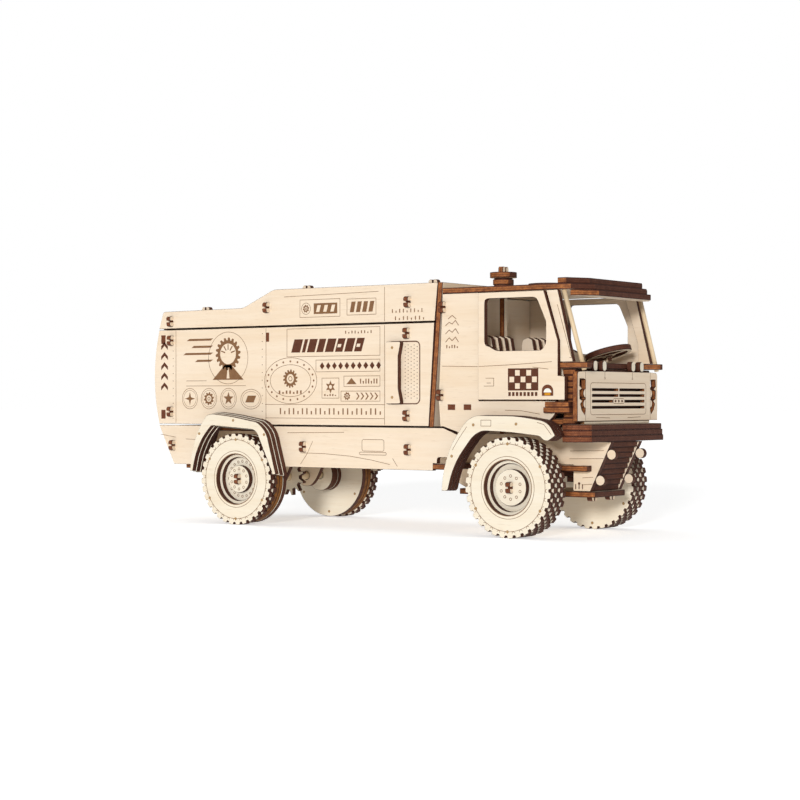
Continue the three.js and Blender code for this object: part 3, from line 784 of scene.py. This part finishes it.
def wheel(kind, side, sign, x):
    """Five sheets glued into a wheel with a stepped dish, the hub disc and its engraving."""
    node = f"{kind}_wheel_{side}"
    piece = Piece(node + "_ply")
    toothed, turned = tyre_outline(x, 0.0), tyre_outline(x, 0.5)
    plain = circle(x, WHEEL_R, WHEEL_R - 1.3, 72)
    back = circle(x, WHEEL_R, WHEEL_R - 0.8, 72)
    bore = circle(x, WHEEL_R, 3.3, 24)
    wide, narrow = circle(x, WHEEL_R, 18, 64), circle(x, WHEEL_R, 15.9, 64)
    if kind == "front":
        layers = [(toothed, wide, EDGE), (turned, narrow, EDGE), (toothed, bore, EDGE),
                  (turned, bore, EDGE), (toothed, bore, EDGE)]
        hub_radius, bolt_circle = 12, 7.6
    else:
        layers = [(toothed, wide, EDGE), (turned, narrow, EDGE), (plain, bore, EDGE_GOLD),
                  (plain, bore, EDGE_GOLD), (back, bore, EDGE)]
        hub_radius, bolt_circle = 9.8, 7.3
    face = WHEEL_FACE * sign

    def span(near, far):
        return sorted((face - sign * near, face - sign * far))

    for i, (outer, inner, edge) in enumerate(layers):
        low, high = span(i * SHEET, (i + 1) * SHEET)
        piece.plate("Y", outer, low, high, PALE["X"], edge, [inner], hole_edge=EDGE)
    low, high = span(SHEET, 2 * SHEET)
    disc = circle(x, WHEEL_R, hub_radius, 48)
    piece.plate("Y", disc, low, high, PALE["X"], EDGE)
    if kind == "rear":
        for i in range(3):
            low, high = span((5 + i) * SHEET, (6 + i) * SHEET)
            piece.plate("Y", circle(x, WHEEL_R, 12 - 0.5 * (i % 2), 40), low, high, PALE["X"], EDGE,
                        [bore])
    wheel_marks(piece, kind, sign, x, bolt_circle)
    done_for(piece, node)


def wheel_marks(piece, kind, sign, x, bolt_circle):
    """The engraving on a tyre's face, on the hub disc and on the rear dish's floor."""
    face = WHEEL_FACE * sign
    marks = Engraving(piece, "Y", face, sign)
    marks.ring(x, WHEEL_R, 28.6, count=72)
    marks.ring(x, WHEEL_R, 20.4, count=60)
    marks.ring(x, WHEEL_R, 18.4, 0.5, count=60)
    for i in range(TYRE_TEETH):
        t = 2 * math.pi * (i + 0.8) / TYRE_TEETH
        u, v = x + 29.9 * math.cos(t), WHEEL_R + 29.9 * math.sin(t)
        arc = [(u + 1.1 * math.cos(t + a), v + 1.1 * math.sin(t + a))
               for a in (-1.6 + 3.2 * k / 8 + math.pi for k in range(9))]
        marks.line(arc, 0.3)
    marks = Engraving(piece, "Y", face - sign * SHEET, sign)
    for i in range(10):
        t = 2 * math.pi * (i + 0.5) / 10
        marks.ring(x + bolt_circle * math.cos(t), WHEEL_R + bolt_circle * math.sin(t), 0.85, 0.4,
                   count=14)
    if kind == "rear":
        marks = Engraving(piece, "Y", face - sign * 2 * SHEET, sign)
        for i in range(20):
            t = 2 * math.pi * i / 20
            marks.ring(x + 12.7 * math.cos(t), WHEEL_R + 12.7 * math.sin(t), 0.8, 0.4, count=14)


# ---------------------------------------------------------------- pieces that turn or steer
def rear_drive():
    axle = Piece("rear_axle_ply")
    axle.rod((REAR_X, -52.8, WHEEL_R), (REAR_X, 52.8, WHEEL_R), 3, DOWEL)
    loops, _, _ = cap_loops("rear_axle", "Y", 0)
    gear = max(loops, key=lambda loop: abs(turned_area(loop)))
    axle.plate("Y", gear, -SHEET, 0, PALE["X"], EDGE, [circle(REAR_X, WHEEL_R, 3, 24)])
    done_for(axle, "rear_axle")

    pinion = Piece("pinion_shaft_ply")
    loops, _, _ = cap_loops("pinion_shaft", "Y", SHEET)
    gear = max(loops, key=lambda loop: abs(turned_area(loop)))
    x = sum(p[0] for p in gear) / len(gear)
    z = sum(p[1] for p in gear) / len(gear)
    pinion.rod((x, -23.3, z), (x, 23.3, z), 3, DOWEL)
    for i in range(4):
        low = -3 * SHEET + i * SHEET
        pinion.plate("Y", gear, low, low + SHEET, PALE["X"], EDGE, [circle(x, z, 3, 24)])
    done_for(pinion, "pinion_shaft")


def knuckle(side, sign):
    node = f"steering_knuckle_{side}"
    piece = Piece(node + "_ply")
    y = sign * KINGPIN_Y
    for i in range(3):
        piece.plate("Z", circle(0, y, 5.5 - 0.3 * (i % 2), 32), 30 + i * 4.3, 30 + (i + 1) * 4.3)
    piece.rod((0, y, 26.3), (0, y, 46.6), 2.5, DOWEL)
    piece.rod((0, y, WHEEL_R), (0, sign * 56.6, WHEEL_R), 3, DOWEL)
    piece.plate("Z", box_outline(-14.4, y - 2.4, 0, y + 2.4), 33, 37)
    piece.rod((-12, y, 36), (-12, y, 42.3), 1.6, DOWEL)
    done_for(piece, node)


def steering_post():
    piece = Piece("steering_post_ply")
    x = POST_X
    piece.plate("X", box_outline(-1.9, 32, 1.9, 178.5), x - 1.9, x + 1.9, lit=EDGE_PAINTED_LIT)
    piece.plate("Z", box_outline(x - 3, -2.4, x + 14.4, 2.4), 33, 37, lit=EDGE_PAINTED_LIT)
    piece.rod((x + 12, 0, 36), (x + 12, 0, 42.4), 1.6, DOWEL)
    for radius, low, high in ((6.6, 165.9, 169.8), (7.2, 169.8, 173.6), (9.3, 174.7, 178.5)):
        piece.plate("Z", circle(x, 0, radius, 48), low, high, lit=EDGE_PAINTED_LIT)
    piece.plate("Z", circle(x, 0, 6.4, 40), 173.6, 174.7)
    for low, high in ((-3.7, -0.5), (0.5, 3.7)):
        piece.plate("X", [(low, 178.5), (high, 178.5), (high, 181), (high - 0.6, 182.4),
                          (low + 0.6, 182.4), (low, 181)], x - 1.9, x + 1.9, lit=EDGE_PAINTED_LIT)
    done_for(piece, "steering_post")


def steering_wheel():
    piece = Piece("steering_wheel_ply")
    x, y, z = STEERING_WHEEL
    holes = []
    for i in range(3):
        start, end = 2 * math.pi * i / 3, 2 * math.pi * (i + 1) / 3
        out = [start + 0.15 + (end - start - 0.3) * k / 12 for k in range(13)]
        back = [end - 0.4 - (end - start - 0.8) * k / 8 for k in range(9)]
        holes.append([(x + 12.8 * math.cos(t), y + 12.8 * math.sin(t)) for t in out]
                     + [(x + 5 * math.cos(t), y + 5 * math.sin(t)) for t in back])
    low, high = z - SHEET / 2, z + SHEET / 2
    made = piece.plate("Z", circle(x, y, 16, 48), low, high, PALE["X"], EDGE, holes)
    made += piece.plate("Z", circle(x, y, 2.5, 20), low - 1.2, low)
    made += piece.rod((x, y, low - 3.5), (x, y, low - 1.1), 1.3, EDGE)
    piece.turn(made, STEERING_WHEEL, Matrix.Rotation(math.radians(WHEEL_LEAN), 3, "Y"))
    done_for(piece, "steering_wheel")


# ---------------------------------------------------------------- cab
def doors():
    for side, sign in SIDES:
        node = f"door_{side}"
        piece = sheets_of(node, "Y")
        marks = Engraving(piece, "Y", sign * DOOR_FACE, sign)
        marks.line([(-28, 112.4), (0, 113.4), (28.6, 115)])
        marks.line([(14, 111.6), (26, 110.2)])
        marks.line([(-23.7, 99.4), (-16, 99.4), (-16, 104.6), (-22.4, 104.6)])
        marks.line([(-21.6, 101.4), (-18.2, 101.4)])
        number_board(marks, -4.9, 92.8, 18.4, 110.9)
        side_lamp(marks, 25.4, 92.9)
        done_for(piece, node)


def side_lamp(marks, u, v):
    """A half-round lamp window: a dark arch, a white lens and an amber strip below it."""
    arch = [(u + 4.3 * math.cos(t), v + 3.4 + 3.9 * math.sin(t))
            for t in (math.pi * i / 14 for i in range(15))] + [(u - 4.3, v), (u + 4.3, v)]
    marks.fill(arch, (), TENON_AND_LIT_EDGE)
    lens = [(u + 2.9 * math.cos(t), v + 2.2 + 2.7 * math.sin(t))
            for t in (math.pi * i / 12 for i in range(13))]
    lift = Engraving(marks.piece, "Y", marks.level + 0.06 * marks.outward, marks.outward)
    lift.fill(lens, (), LENS)
    lift.fill(box_outline(u - 2.2, v + 0.3, u + 2.2, v + 2.1), (), AMBER)


def number_board(marks, u0, v0, u1, v1):
    """A scorched board with pale chequers left in it, over a row of short bars."""
    columns, rows = 5, 3
    base = v0 + 3.6
    wide, tall = (u1 - u0 - 1.6) / columns, (v1 - base - 1.6) / rows
    holes = []
    for row in range(rows):
        for column in range(columns):
            if (row + column) % 2:
                u, v = u0 + 0.8 + column * wide, base + 0.8 + row * tall
                holes.append(box_outline(u + 0.35, v + 0.35, u + wide - 0.35, v + tall - 0.35))
    marks.fill(box_outline(u0, base, u1, v1), holes, DEEP)
    for i in range(8):
        u = u0 + 0.3 + i * (u1 - u0) / 8
        marks.fill(box_outline(u, v0, u + 1.9, v0 + 2.6), (), DEEP)


def windscreen_dowels():
    for side, sign in SIDES:
        piece = Piece(f"windscreen_dowel_{side}_wood")
        piece.rod((48.7, sign * 49.1, 109.7), (34.5, sign * 50.6, 161.2), 1.5, DOWEL)
        done_for(piece, f"windscreen_dowel_{side}")


def interior():
    dash = Piece("dashboard_ply")
    outline = [(16, 98), (33, 98), (33, 110.4), (24, 115), (16, 110)]
    dash.plate("Y", outline, -48, 48, PALE["X"], FACE["Y"])
    done_for(dash, "dashboard")

    seats = Piece("seat_pair_ply")
    profile = [(-36, 81), (6, 81), (8, 96), (6, 99), (-20, 97), (-24, 100), (-27, 124), (-28.5, 132),
               (-32, 133.6), (-36, 132), (-37, 128)]
    for near in (-40, 12):
        for offset in (0, 8.2, 16.4, 24.2):
            seats.plate("Y", profile, near + offset, near + offset + SHEET, FACE["Z"])
        seats.plate("Z", box_outline(-24, near + 3.8, 5, near + 24.2), 91, 94.4)
        seats.plate("X", box_outline(near + 3.8, 96, near + 24.2, 126), -33.6, -30)
    seats.plate("Z", box_outline(-36, -40, 6, 40), 78.3, 81)
    done_for(seats, "seat_pair")


# ---------------------------------------------------------------- small repeated pieces
def repeater():
    """Geometry nodes that set copies of a template on points, each turned a little by chance."""
    tree = bpy.data.node_groups.new("copies on points", "GeometryNodeTree")
    for label, kind in (("Places", "Geometry"), ("Template", "Object"), ("Seed", "Int"),
                        ("Wobble", "Float"), ("Face", "Material"), ("Edge", "Material"),
                        ("Lit", "Material")):
        tree.interface.new_socket(label, in_out="INPUT", socket_type="NodeSocket" + kind)
    tree.interface.new_socket("Copies", in_out="OUTPUT", socket_type="NodeSocketGeometry")
    nodes, links = tree.nodes, tree.links
    entry, leave = nodes.new("NodeGroupInput"), nodes.new("NodeGroupOutput")

    template = nodes.new("GeometryNodeObjectInfo")
    links.new(entry.outputs["Template"], template.inputs["Object"])
    turn = nodes.new("GeometryNodeInputNamedAttribute")
    turn.data_type = "FLOAT_VECTOR"
    turn.inputs["Name"].default_value = "turn"
    chance = nodes.new("FunctionNodeRandomValue")
    chance.data_type = "FLOAT_VECTOR"
    links.new(entry.outputs["Seed"], chance.inputs["Seed"])
    links.new(entry.outputs["Wobble"], chance.inputs["Max"])
    less = nodes.new("ShaderNodeMath")
    less.operation = "MULTIPLY"
    less.inputs[1].default_value = -1.0
    links.new(entry.outputs["Wobble"], less.inputs[0])
    links.new(less.outputs[0], chance.inputs["Min"])
    total = nodes.new("ShaderNodeVectorMath")
    links.new(turn.outputs["Attribute"], total.inputs[0])
    links.new(chance.outputs["Value"], total.inputs[1])
    rotation = nodes.new("FunctionNodeEulerToRotation")
    links.new(total.outputs[0], rotation.inputs["Euler"])

    instances = nodes.new("GeometryNodeInstanceOnPoints")
    links.new(entry.outputs["Places"], instances.inputs["Points"])
    links.new(template.outputs["Geometry"], instances.inputs["Instance"])
    links.new(rotation.outputs["Rotation"], instances.inputs["Rotation"])
    real = nodes.new("GeometryNodeRealizeInstances")
    links.new(instances.outputs["Instances"], real.inputs["Geometry"])
    last = real.outputs["Geometry"]
    for label, chosen in (("Face", None), ("Edge", "cut"), ("Lit", "lit")):
        paint = nodes.new("GeometryNodeSetMaterial")
        links.new(last, paint.inputs["Geometry"])
        links.new(entry.outputs[label], paint.inputs["Material"])
        if chosen:
            pick = nodes.new("GeometryNodeInputNamedAttribute")
            pick.data_type = "BOOLEAN"
            pick.inputs["Name"].default_value = chosen
            links.new(pick.outputs["Attribute"], paint.inputs["Selection"])
        last = paint.outputs["Geometry"]
    links.new(last, leave.inputs["Copies"])
    return tree


REPEATER = repeater()


def template(piece, face, edge, lit=None):
    """A small piece to be copied: its cut faces and its outward end faces carry marks."""
    bmesh.ops.triangulate(piece.mesh, faces=[f for f in piece.mesh.faces if len(f.verts) > 4])
    data = bpy.data.meshes.new(piece.name)
    for f in piece.mesh.faces:
        f.normal_update()
    cut = [piece.materials[f.material_index] is edge for f in piece.mesh.faces]
    outward = [c and f.normal.z > 0.6 for c, f in zip(cut, piece.mesh.faces)]
    piece.mesh.to_mesh(data)
    piece.mesh.free()
    for name, values in (("cut", cut), ("lit", outward)):
        data.attributes.new(name, "BOOLEAN", "FACE").data.foreach_set("value", values)
    thing = bpy.data.objects.new(piece.name, data)
    bpy.context.scene.collection.objects.link(thing)
    return thing, face, edge, lit or edge


def clip_template():
    """A barbed fork that snaps through a slot: two prongs with a slit between them."""
    piece = Piece("clip", local=True)
    prong = [(0.62, -0.4), (2.9, -0.4), (2.9, 0.25), (3.75, 0.9), (3.7, 2.3), (3.2, 3.3), (2.4, 3.75),
             (1.0, 3.75), (0.62, 3.3)]
    for sign in (-1, 1):
        piece.plate("X", [(sign * y, z) for y, z in prong], -1.9, 1.9, FACE["Z"], EDGE, rim=0.15)
    piece.plate("X", box_outline(-0.8, -0.4, 0.8, 0.5), -1.7, 1.7, EDGE, EDGE, rim=0)
    return template(piece, FACE["Z"], EDGE, TENON_AND_LIT_EDGE)


def disc_template(name, radius, height, count, face, edge):
    piece = Piece(name, local=True)
    piece.plate("Z", circle(0, 0, radius, count), -0.1, height, face, edge, rim=0.04)
    return template(piece, face, edge)


CLIP = clip_template()
PIN_END = disc_template("pin end", 1.0, 0.14, 14, PIN, LINE)
DOT = disc_template("dot", 0.36, 0.05, 8, DEEP, LINE)


def repeated(name, body, kind, places, wobble=1.5):
    """Copies of one small piece at `places`: (point, turn in degrees) pairs."""
    source, face, edge, lit = kind
    points = bpy.data.meshes.new(name)
    points.from_pydata([tuple(at(*place)) for place, _ in places], [], [])
    turns = points.attributes.new("turn", "FLOAT_VECTOR", "POINT")
    turns.data.foreach_set("vector", [math.radians(t) for _, turn in places for t in turn])
    thing = bpy.data.objects.new(name, points)
    bpy.context.scene.collection.objects.link(thing)
    modifier = thing.modifiers.new("copies", "NODES")
    modifier.node_group = REPEATER
    wanted = {"Template": source, "Seed": 3, "Wobble": math.radians(wobble), "Face": face,
              "Edge": edge, "Lit": lit}
    for item in REPEATER.interface.items_tree:
        if item.in_out == "INPUT" and item.name in wanted:
            modifier[item.identifier] = wanted[item.name]
    thing.update_tag()
    bpy.context.view_layer.update()
    graph = bpy.context.evaluated_depsgraph_get()
    made = bpy.data.meshes.new_from_object(thing.evaluated_get(graph), depsgraph=graph)
    thing.modifiers.clear()
    made.name = name
    thing.data = made
    bpy.data.meshes.remove(points)
    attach(thing, body)
    return thing


SIDE_CLIPS = ((-304.9, 149), (-304.6, 134.7), (-304.9, 81.5), (-302.9, 56.4), (-211.5, 156.8),
              (-86.6, 157.1), (-87.5, 135.8), (-87.5, 79.5), (-177.8, 57), (-86.4, 56.3),
              (-57.7, 152.7), (-59.5, 93.5))
FENDER_PINS = ((-233.8, 75.4), (-266.5, 65.6), (-204.8, 65.5), (-25.7, 73.8), (7.5, 74.6), (-42.9, 52.9))


def outward(sign):
    """The turn that points a clip out of a side: -1 right, +1 left."""
    return (-90 * sign, 0, 0)


def body_fixings():
    clips, pins, dots = [], [], []
    for _, sign in SIDES:
        clips += [((x, sign * BODY_SIDE, z), outward(sign)) for x, z in SIDE_CLIPS]
        pins += [((x, sign * FENDER_FACE, z), outward(sign)) for x, z in FENDER_PINS]
        pins += [((-97.5, sign * SCOOP_FACE, z), outward(sign)) for z in (92, 126)]
        clips += [((x, sign * 44, z), (0, 0, 90)) for x, z in ((-278, 155.7), (-182, 168.4), (-72, 168.6))]
        clips += [((x, sign * y, 26.9), (180, 0, 0)) for x, y in ((33, 12), (-3, 30))]
        clips += [((-315, sign * 30, z), (0, -90, 0)) for z in (84, 131)]
        for row in range(15):
            for column in range(5):
                x, z = -89.4 + column * 2.5, 91.5 + row * 2.5 + (column % 2) * 1.25
                dots.append(((x, sign * BODY_SIDE, z), outward(sign)))
        for i in range(12):
            dots.append(((-216.4, sign * 54, 76.5 + i * 5.6), outward(sign)))
            dots.append(((-303.2, sign * 54, 76.5 + i * 5.6), outward(sign)))
    repeated("kit_clips", "root", CLIP, clips)
    repeated("kit_pin_ends", "root", PIN_END, pins)
    repeated("engraved_dots", "root", DOT, dots, 0)


def wheel_fixings():
    rear_clips, rear_pins = [], []
    for side, sign in SIDES:
        ring = [(28.6 * math.cos(math.pi * (i + 0.5) / 3), 28.6 * math.sin(math.pi * (i + 0.5) / 3))
                for i in range(6)]
        here = [((u, sign * WHEEL_FACE, WHEEL_R + v), outward(sign)) for u, v in ring]
        body = f"front_wheel_{side}"
        repeated(f"front_hub_clip_{side}", body, CLIP,
                 [((0, sign * (WHEEL_FACE - SHEET), WHEEL_R), outward(sign))])
        here += [((u, sign * (WHEEL_FACE - 5 * SHEET), WHEEL_R + v), outward(-sign)) for u, v in ring]
        repeated(f"front_wheel_pins_{side}", body, PIN_END, here)
        rear_pins += [((p[0] + REAR_X, p[1], p[2]), t) for p, t in here]
        rear_clips.append(((REAR_X, sign * (WHEEL_FACE - SHEET), WHEEL_R), outward(sign)))
    repeated("rear_hub_clips", "rear_axle", CLIP, rear_clips)
    repeated("rear_wheel_pins", "rear_axle", PIN_END, rear_pins)


# ---------------------------------------------------------------- engraving on the body
def gear_badge(marks, u, v, radius, teeth=12):
    marks.fill(tooth_ring(u, v, teeth, radius, radius * 0.78), [circle(u, v, radius * 0.5, 24)])
    marks.ring(u, v, radius * 0.24, 0.5, count=16)


def star(u, v, radius, points=5, depth=0.42):
    return [(u + r * math.sin(t), v + r * math.cos(t))
            for r, t in ((radius * (depth if i % 2 else 1), math.pi * i / points)
                         for i in range(2 * points))]


def slanted_bar(u0, v0, u1, v1, slant):
    return [(u0, v0), (u1, v0), (u1 + slant, v1), (u0 + slant, v1)]


def emblem(marks, u, v):
    """A toothed ring over a road that runs to the horizon, with speed bars on its left."""
    marks.ring(u + 9, v + 1, 19, count=56)
    marks.fill(tooth_ring(u + 9, v + 4, 18, 12, 10), [circle(u + 9, v + 4, 7.6, 32)])
    for i in range(5):
        t = math.pi * (0.1 + 0.2 * i)
        marks.line([(u + 9 + 3 * math.cos(t), v + 4 + 3 * math.sin(t)),
                    (u + 9 + 7 * math.cos(t), v + 4 + 7 * math.sin(t))], 0.9)
    marks.fill([(u - 6, v - 15), (u + 24, v - 15), (u + 12, v - 4), (u + 6, v - 4)],
               [[(u + 7.6, v - 14), (u + 10.4, v - 14), (u + 9.5, v - 6), (u + 8.5, v - 6)]])
    for i, reach in enumerate((26, 21, 30, 17)):
        marks.fill(slanted_bar(u - 8 - reach * 0.9, v + 14 - i * 5.2, u - 8, v + 15.6 - i * 5.2, 2.4))
    marks.line([(u - 32, v - 15.6), (u - 12, v - 15.6)])
    marks.line([(u - 32, v - 19.4), (u + 26, v - 19.4)])


def seams_and_emblem(marks):
    for x in (-300.4, -212.9, -106.9):
        marks.line([(x, 73), (x, 142)])
    marks.line([(-106.9, 144.5), (-106.9, 168)])
    marks.line([(-196, 164), (-112, 165.2)])
    emblem(marks, -258, 120)


def badge_row(marks):
    """Four ringed badges in a row under the emblem."""
    for i, u in enumerate((-286.4, -267.6, -248.6)):
        marks.ring(u, 91.2, 7.6, count=36)
        marks.ring(u, 91.2, 6.2, 0.25, count=36)
        if i == 0:
            marks.fill(star(u, 91.2, 5, 4, 0.3))
        elif i == 1:
            gear_badge(marks, u, 91.2, 4.8, 10)
        else:
            marks.fill(star(u, 91.2, 5))
    marks.ring(-227.1, 90.8, 9.6, second=7.2)
    marks.ring(-227.1, 90.8, 8, 0.25, second=5.6)
    marks.fill(slanted_bar(-232.5, 88.4, -224.5, 93.4, 2.4))


def bar_board(marks):
    """A framed row of slanted bars with a row of lozenges under it."""
    marks.box(-193.4, 121.1, -110.8, 140.9)
    u = -189.5
    for i, wide in enumerate((8, 3, 7, 6, 7.5, 6.5, 7, 6.5)):
        gap = [slanted_bar(u + 2.1, 127.2, u + wide - 1.4, 129.4, 0.6)] if wide > 6 and i % 2 else ()
        marks.fill(slanted_bar(u, 124, u + wide, 133.4, 3), gap, DEEP)
        u += wide + 1.6
    ticks(marks, -141, -118, 136.6, 138.6, 9, 0.9)

    marks.box(-167, 110.1, -110.8, 118.4)
    for i in range(10):
        marks.fill([(-163.6 + i * 5.5, 114.2), (-161.5 + i * 5.5, 111.6), (-159.4 + i * 5.5, 114.2),
                    (-161.5 + i * 5.5, 116.8)], (), DEEP)


def gear_oval(marks):
    marks.ring(-190.3, 104, 24, second=16.4, count=64)
    marks.ring(-190.3, 104, 18.6, second=11.4, count=56)
    for i in range(20):
        t = 2 * math.pi * i / 20
        marks.fill(circle(-190.3 + 21.2 * math.cos(t), 104 + 13.8 * math.sin(t), 0.8, 8))
    gear_badge(marks, -190.3, 105.4, 6.6, 14)
    ticks(marks, -201, -180, 94.6, 97, 7, 1.4)


def small_boards(marks):
    marks.box(-161.6, 91.5, -146.5, 105.6)
    marks.fill(star(-154, 99.4, 4.6, 6, 0.5), [circle(-154, 99.4, 1.4, 12)])
    ticks(marks, -159.6, -149, 93, 94.4, 5, 1.2)
    marks.box(-142.1, 99.7, -110.8, 106.9)
    marks.fill([(-140, 101.2), (-131, 101.2), (-135.4, 105.6)])
    ticks(marks, -128, -113, 101.6, 105, 7, 1)
    marks.box(-144.7, 89.4, -110.8, 96.4)
    gear_badge(marks, -139.4, 92.9, 2.8, 8)
    for i in range(5):
        chevron(marks, -131.6 + i * 4, 92.9, 2, 2.4)


def lower_band(marks):
    """The ruled band of ticks, and the chevrons up the tail's edge."""
    marks.line([(-213.8, 87), (-106.9, 87)])
    marks.line([(-213.8, 77.3), (-106.9, 77.3)])
    ticks(marks, -200, -110, 80, 84.4, 23, 1.1)
    for i in range(5):
        v = 97.4 + i * 7.6
        marks.fill([(-315.4, v), (-312, v + 3.2), (-308.6, v), (-308.6, v + 2.8), (-312, v + 6),
                    (-315.4, v + 2.8)], (), DEEP)


def roofline_boards(marks):
    marks.box(-181.5, 148.9, -145.6, 161.3)
    marks.ring(-176, 155, 4)
    gear_badge(marks, -176, 155, 2.8, 8)
    marks.fill(box_outline(-169, 151, -148, 158.6), [slanted_bar(-167 + i * 6.4, 152.4, -164 + i * 6.4,
                                                                157.2, 1.4) for i in range(3)])
    marks.box(-139.4, 149.5, -114.2, 160.7)
    for i in range(4):
        marks.fill(slanted_bar(-137 + i * 5.4, 151.4, -133.4 + i * 5.4, 158.8, 1.6))
    ticks(marks, -100.6, -75, 150, 152.6, 9, 0.8)
    ticks(marks, -98, -73.7, 144.9, 147.5, 8, 0.8)


def skirt_marks(marks):
    """Lines and a lid on the lower panels, the ends of tenons, and the air scoop's border."""
    marks.line([(-181, 52.6), (-160, 52.4), (-136.8, 51), (-118, 48.6), (-102.3, 45.8)])
    marks.line([(-170, 61), (-175, 52), (-181, 44.6)])
    marks.line([(-193, 66.8), (-142, 67.6)])
    marks.line([(-100, 50), (-96, 44.6)])
    marks.loop(rounded_box(-126.3, 54.8, -107.4, 62.8, 1.5))
    marks.loop(rounded_box(-128.4, 52.2, -105.4, 54, 0.8))
    marks.line([(-316, 64.5), (-300.4, 62.4)])
    marks.line([(-290.4, 61.2), (-278.4, 60.8)])
    for u, v, wide, tall in ((-313.1, 135.6, 4.3, 6.6), (-313.1, 79.5, 4.3, 6.6), (-211.5, 135.5, 3, 6.6),
                             (-51.2, 85.4, 6, 3.8), (-38.3, 85.4, 6, 3.8)):
        marks.fill(box_outline(u - wide / 2, v - tall / 2, u + wide / 2, v + tall / 2), (), TENON_AND_LIT_EDGE)
    marks.loop(rounded_box(-103.4, 87.6, -77.2, 130.2, 3.5), 0.8, DEEP)


def ticks(marks, u0, u1, v0, v1, count, wide):
    """A row of upright bars; every third one is short."""
    for i in range(count):
        u = u0 + (u1 - u0 - wide) * i / (count - 1)
        top = v1 - (v1 - v0) * (0.45 if i % 3 == 1 else 0)
        marks.fill(box_outline(u, v0, u + wide, top))


def chevron(marks, u, v, wide, half):
    marks.fill([(u, v - half), (u + wide, v), (u, v + half), (u + wide * 0.6, v + half),
                (u + wide * 1.6, v), (u + wide * 0.6, v - half)])


def cab_marks(marks):
    marks.line([(-59, 113), (-30, 112.4)])
    marks.line([(-8.6, 83.5), (4, 83.2), (18.2, 81)])
    marks.line([(31.4, 152), (41.4, 119.4), (42.2, 117.6), (40.6, 117.4)])
    for i in range(3):
        v = 129 + i * 5.6
        marks.line([(-56, v), (-53, v + 3 - i * 0.4), (-50.6, v + 1), (-48, v + 3.4), (-45.4, v)], 0.5)
    marks.line([(-54, 144.6), (-50.6, 147), (-47.4, 144.6)], 0.5)
    ticks(marks, -55.4, -46, 125, 127.2, 5, 0.9)


def engraved_sides():
    piece = Piece("side_engraving")
    for _, sign in SIDES:
        marks = Engraving(piece, "Y", sign * BODY_SIDE, sign)
        for draw in (seams_and_emblem, badge_row, bar_board, gear_oval, small_boards, lower_band,
                     roofline_boards, skirt_marks, cab_marks):
            draw(marks)
        marks = Engraving(piece, "Y", sign * FENDER_FACE, sign)
        marks.line([(-42.4, 57), (-36.7, 65.3), (-30.8, 72.6)])
        marks.line([(23.5, 75.8), (28.6, 74.4), (34.2, 67.9)])
        marks.box(-19.7, 73.1, -11.9, 77)
        marks = Engraving(piece, "Y", sign * RAIL_FACE, sign)
        for z, x in ((57, 47.4), (51.8, 47), (39.4, 39), (34.8, 38.6)):
            marks.line([(x - (26 if z > 45 else 8), z - 0.6), (x, z)])
        for x in (25.8, 28.4, 31):
            marks.fill(box_outline(x - 0.35, 31.2, x + 0.35, 34.6), (), DEEP)
        marks.fill(circle(28.4, 35, 0.9, 12), (), DEEP)
    piece.done()


def engraved_roof_and_tail():
    piece = Piece("roof_and_tail_engraving")
    marks = Engraving(piece, "Z", CARGO_TOP, 1)
    for x in (-196, -72):
        marks.line([(x, -50), (x, 50)])
    for y in (-46, 46):
        marks.line([(-196, y), (-72, y)])
    marks.loop(rounded_box(-166, -24, -102, 24, 3))
    for i in range(6):
        marks.loop(rounded_box(-160 + i * 9.6, -17, -154.6 + i * 9.6, 17, 2))
    marks = Engraving(piece, "X", TAIL_BACK, -1)
    marks.line([(0, 75), (0, 141)])
    for sign in (-1, 1):
        marks.loop([(sign * 4, 78), (sign * 42, 78), (sign * 42, 138), (sign * 4, 138)])
        marks.line([(sign * 10, 76), (sign * 10, 140)])
        near, far = sorted((sign * 14, sign * 19))
        marks.loop(rounded_box(near, 98, far, 112, 1.5), 0.5, DEEP)
    piece.done()


def windscreen_tabs():
    """Four oval ears that stand in front of the sill and hold the grille's top."""
    piece = Piece("grille_ears")
    for sign in (-1, 1):
        for y in (19.5, 31.4):
            piece.plate("X", rounded_box(sign * y - 2.6, 109.2, sign * y + 2.6, 115.9, 2.3), 43, 46.8,
                        PALE["Z"], EDGE)
    piece.done()


camera()
white_world()
sun("key light", (0.38, -0.93, 0.2), 2.2, 9)
sun("top light", (-0.2, 0.1, 1), 0.5, 60)
white_floor()
body_sheets()
fenders()
bumper()
valance()
nose_stack()
grille()
for side, sign in SIDES:
    wheel("front", side, sign, 0.0)
    wheel("rear", side, sign, REAR_X)
    knuckle(side, sign)
rear_drive()
steering_post()
steering_wheel()
doors()
windscreen_dowels()
interior()
windscreen_tabs()
engraved_sides()
engraved_roof_and_tail()
body_fixings()
wheel_fixings()
for kind in (CLIP, PIN_END, DOT):
    bpy.data.objects.remove(kind[0])
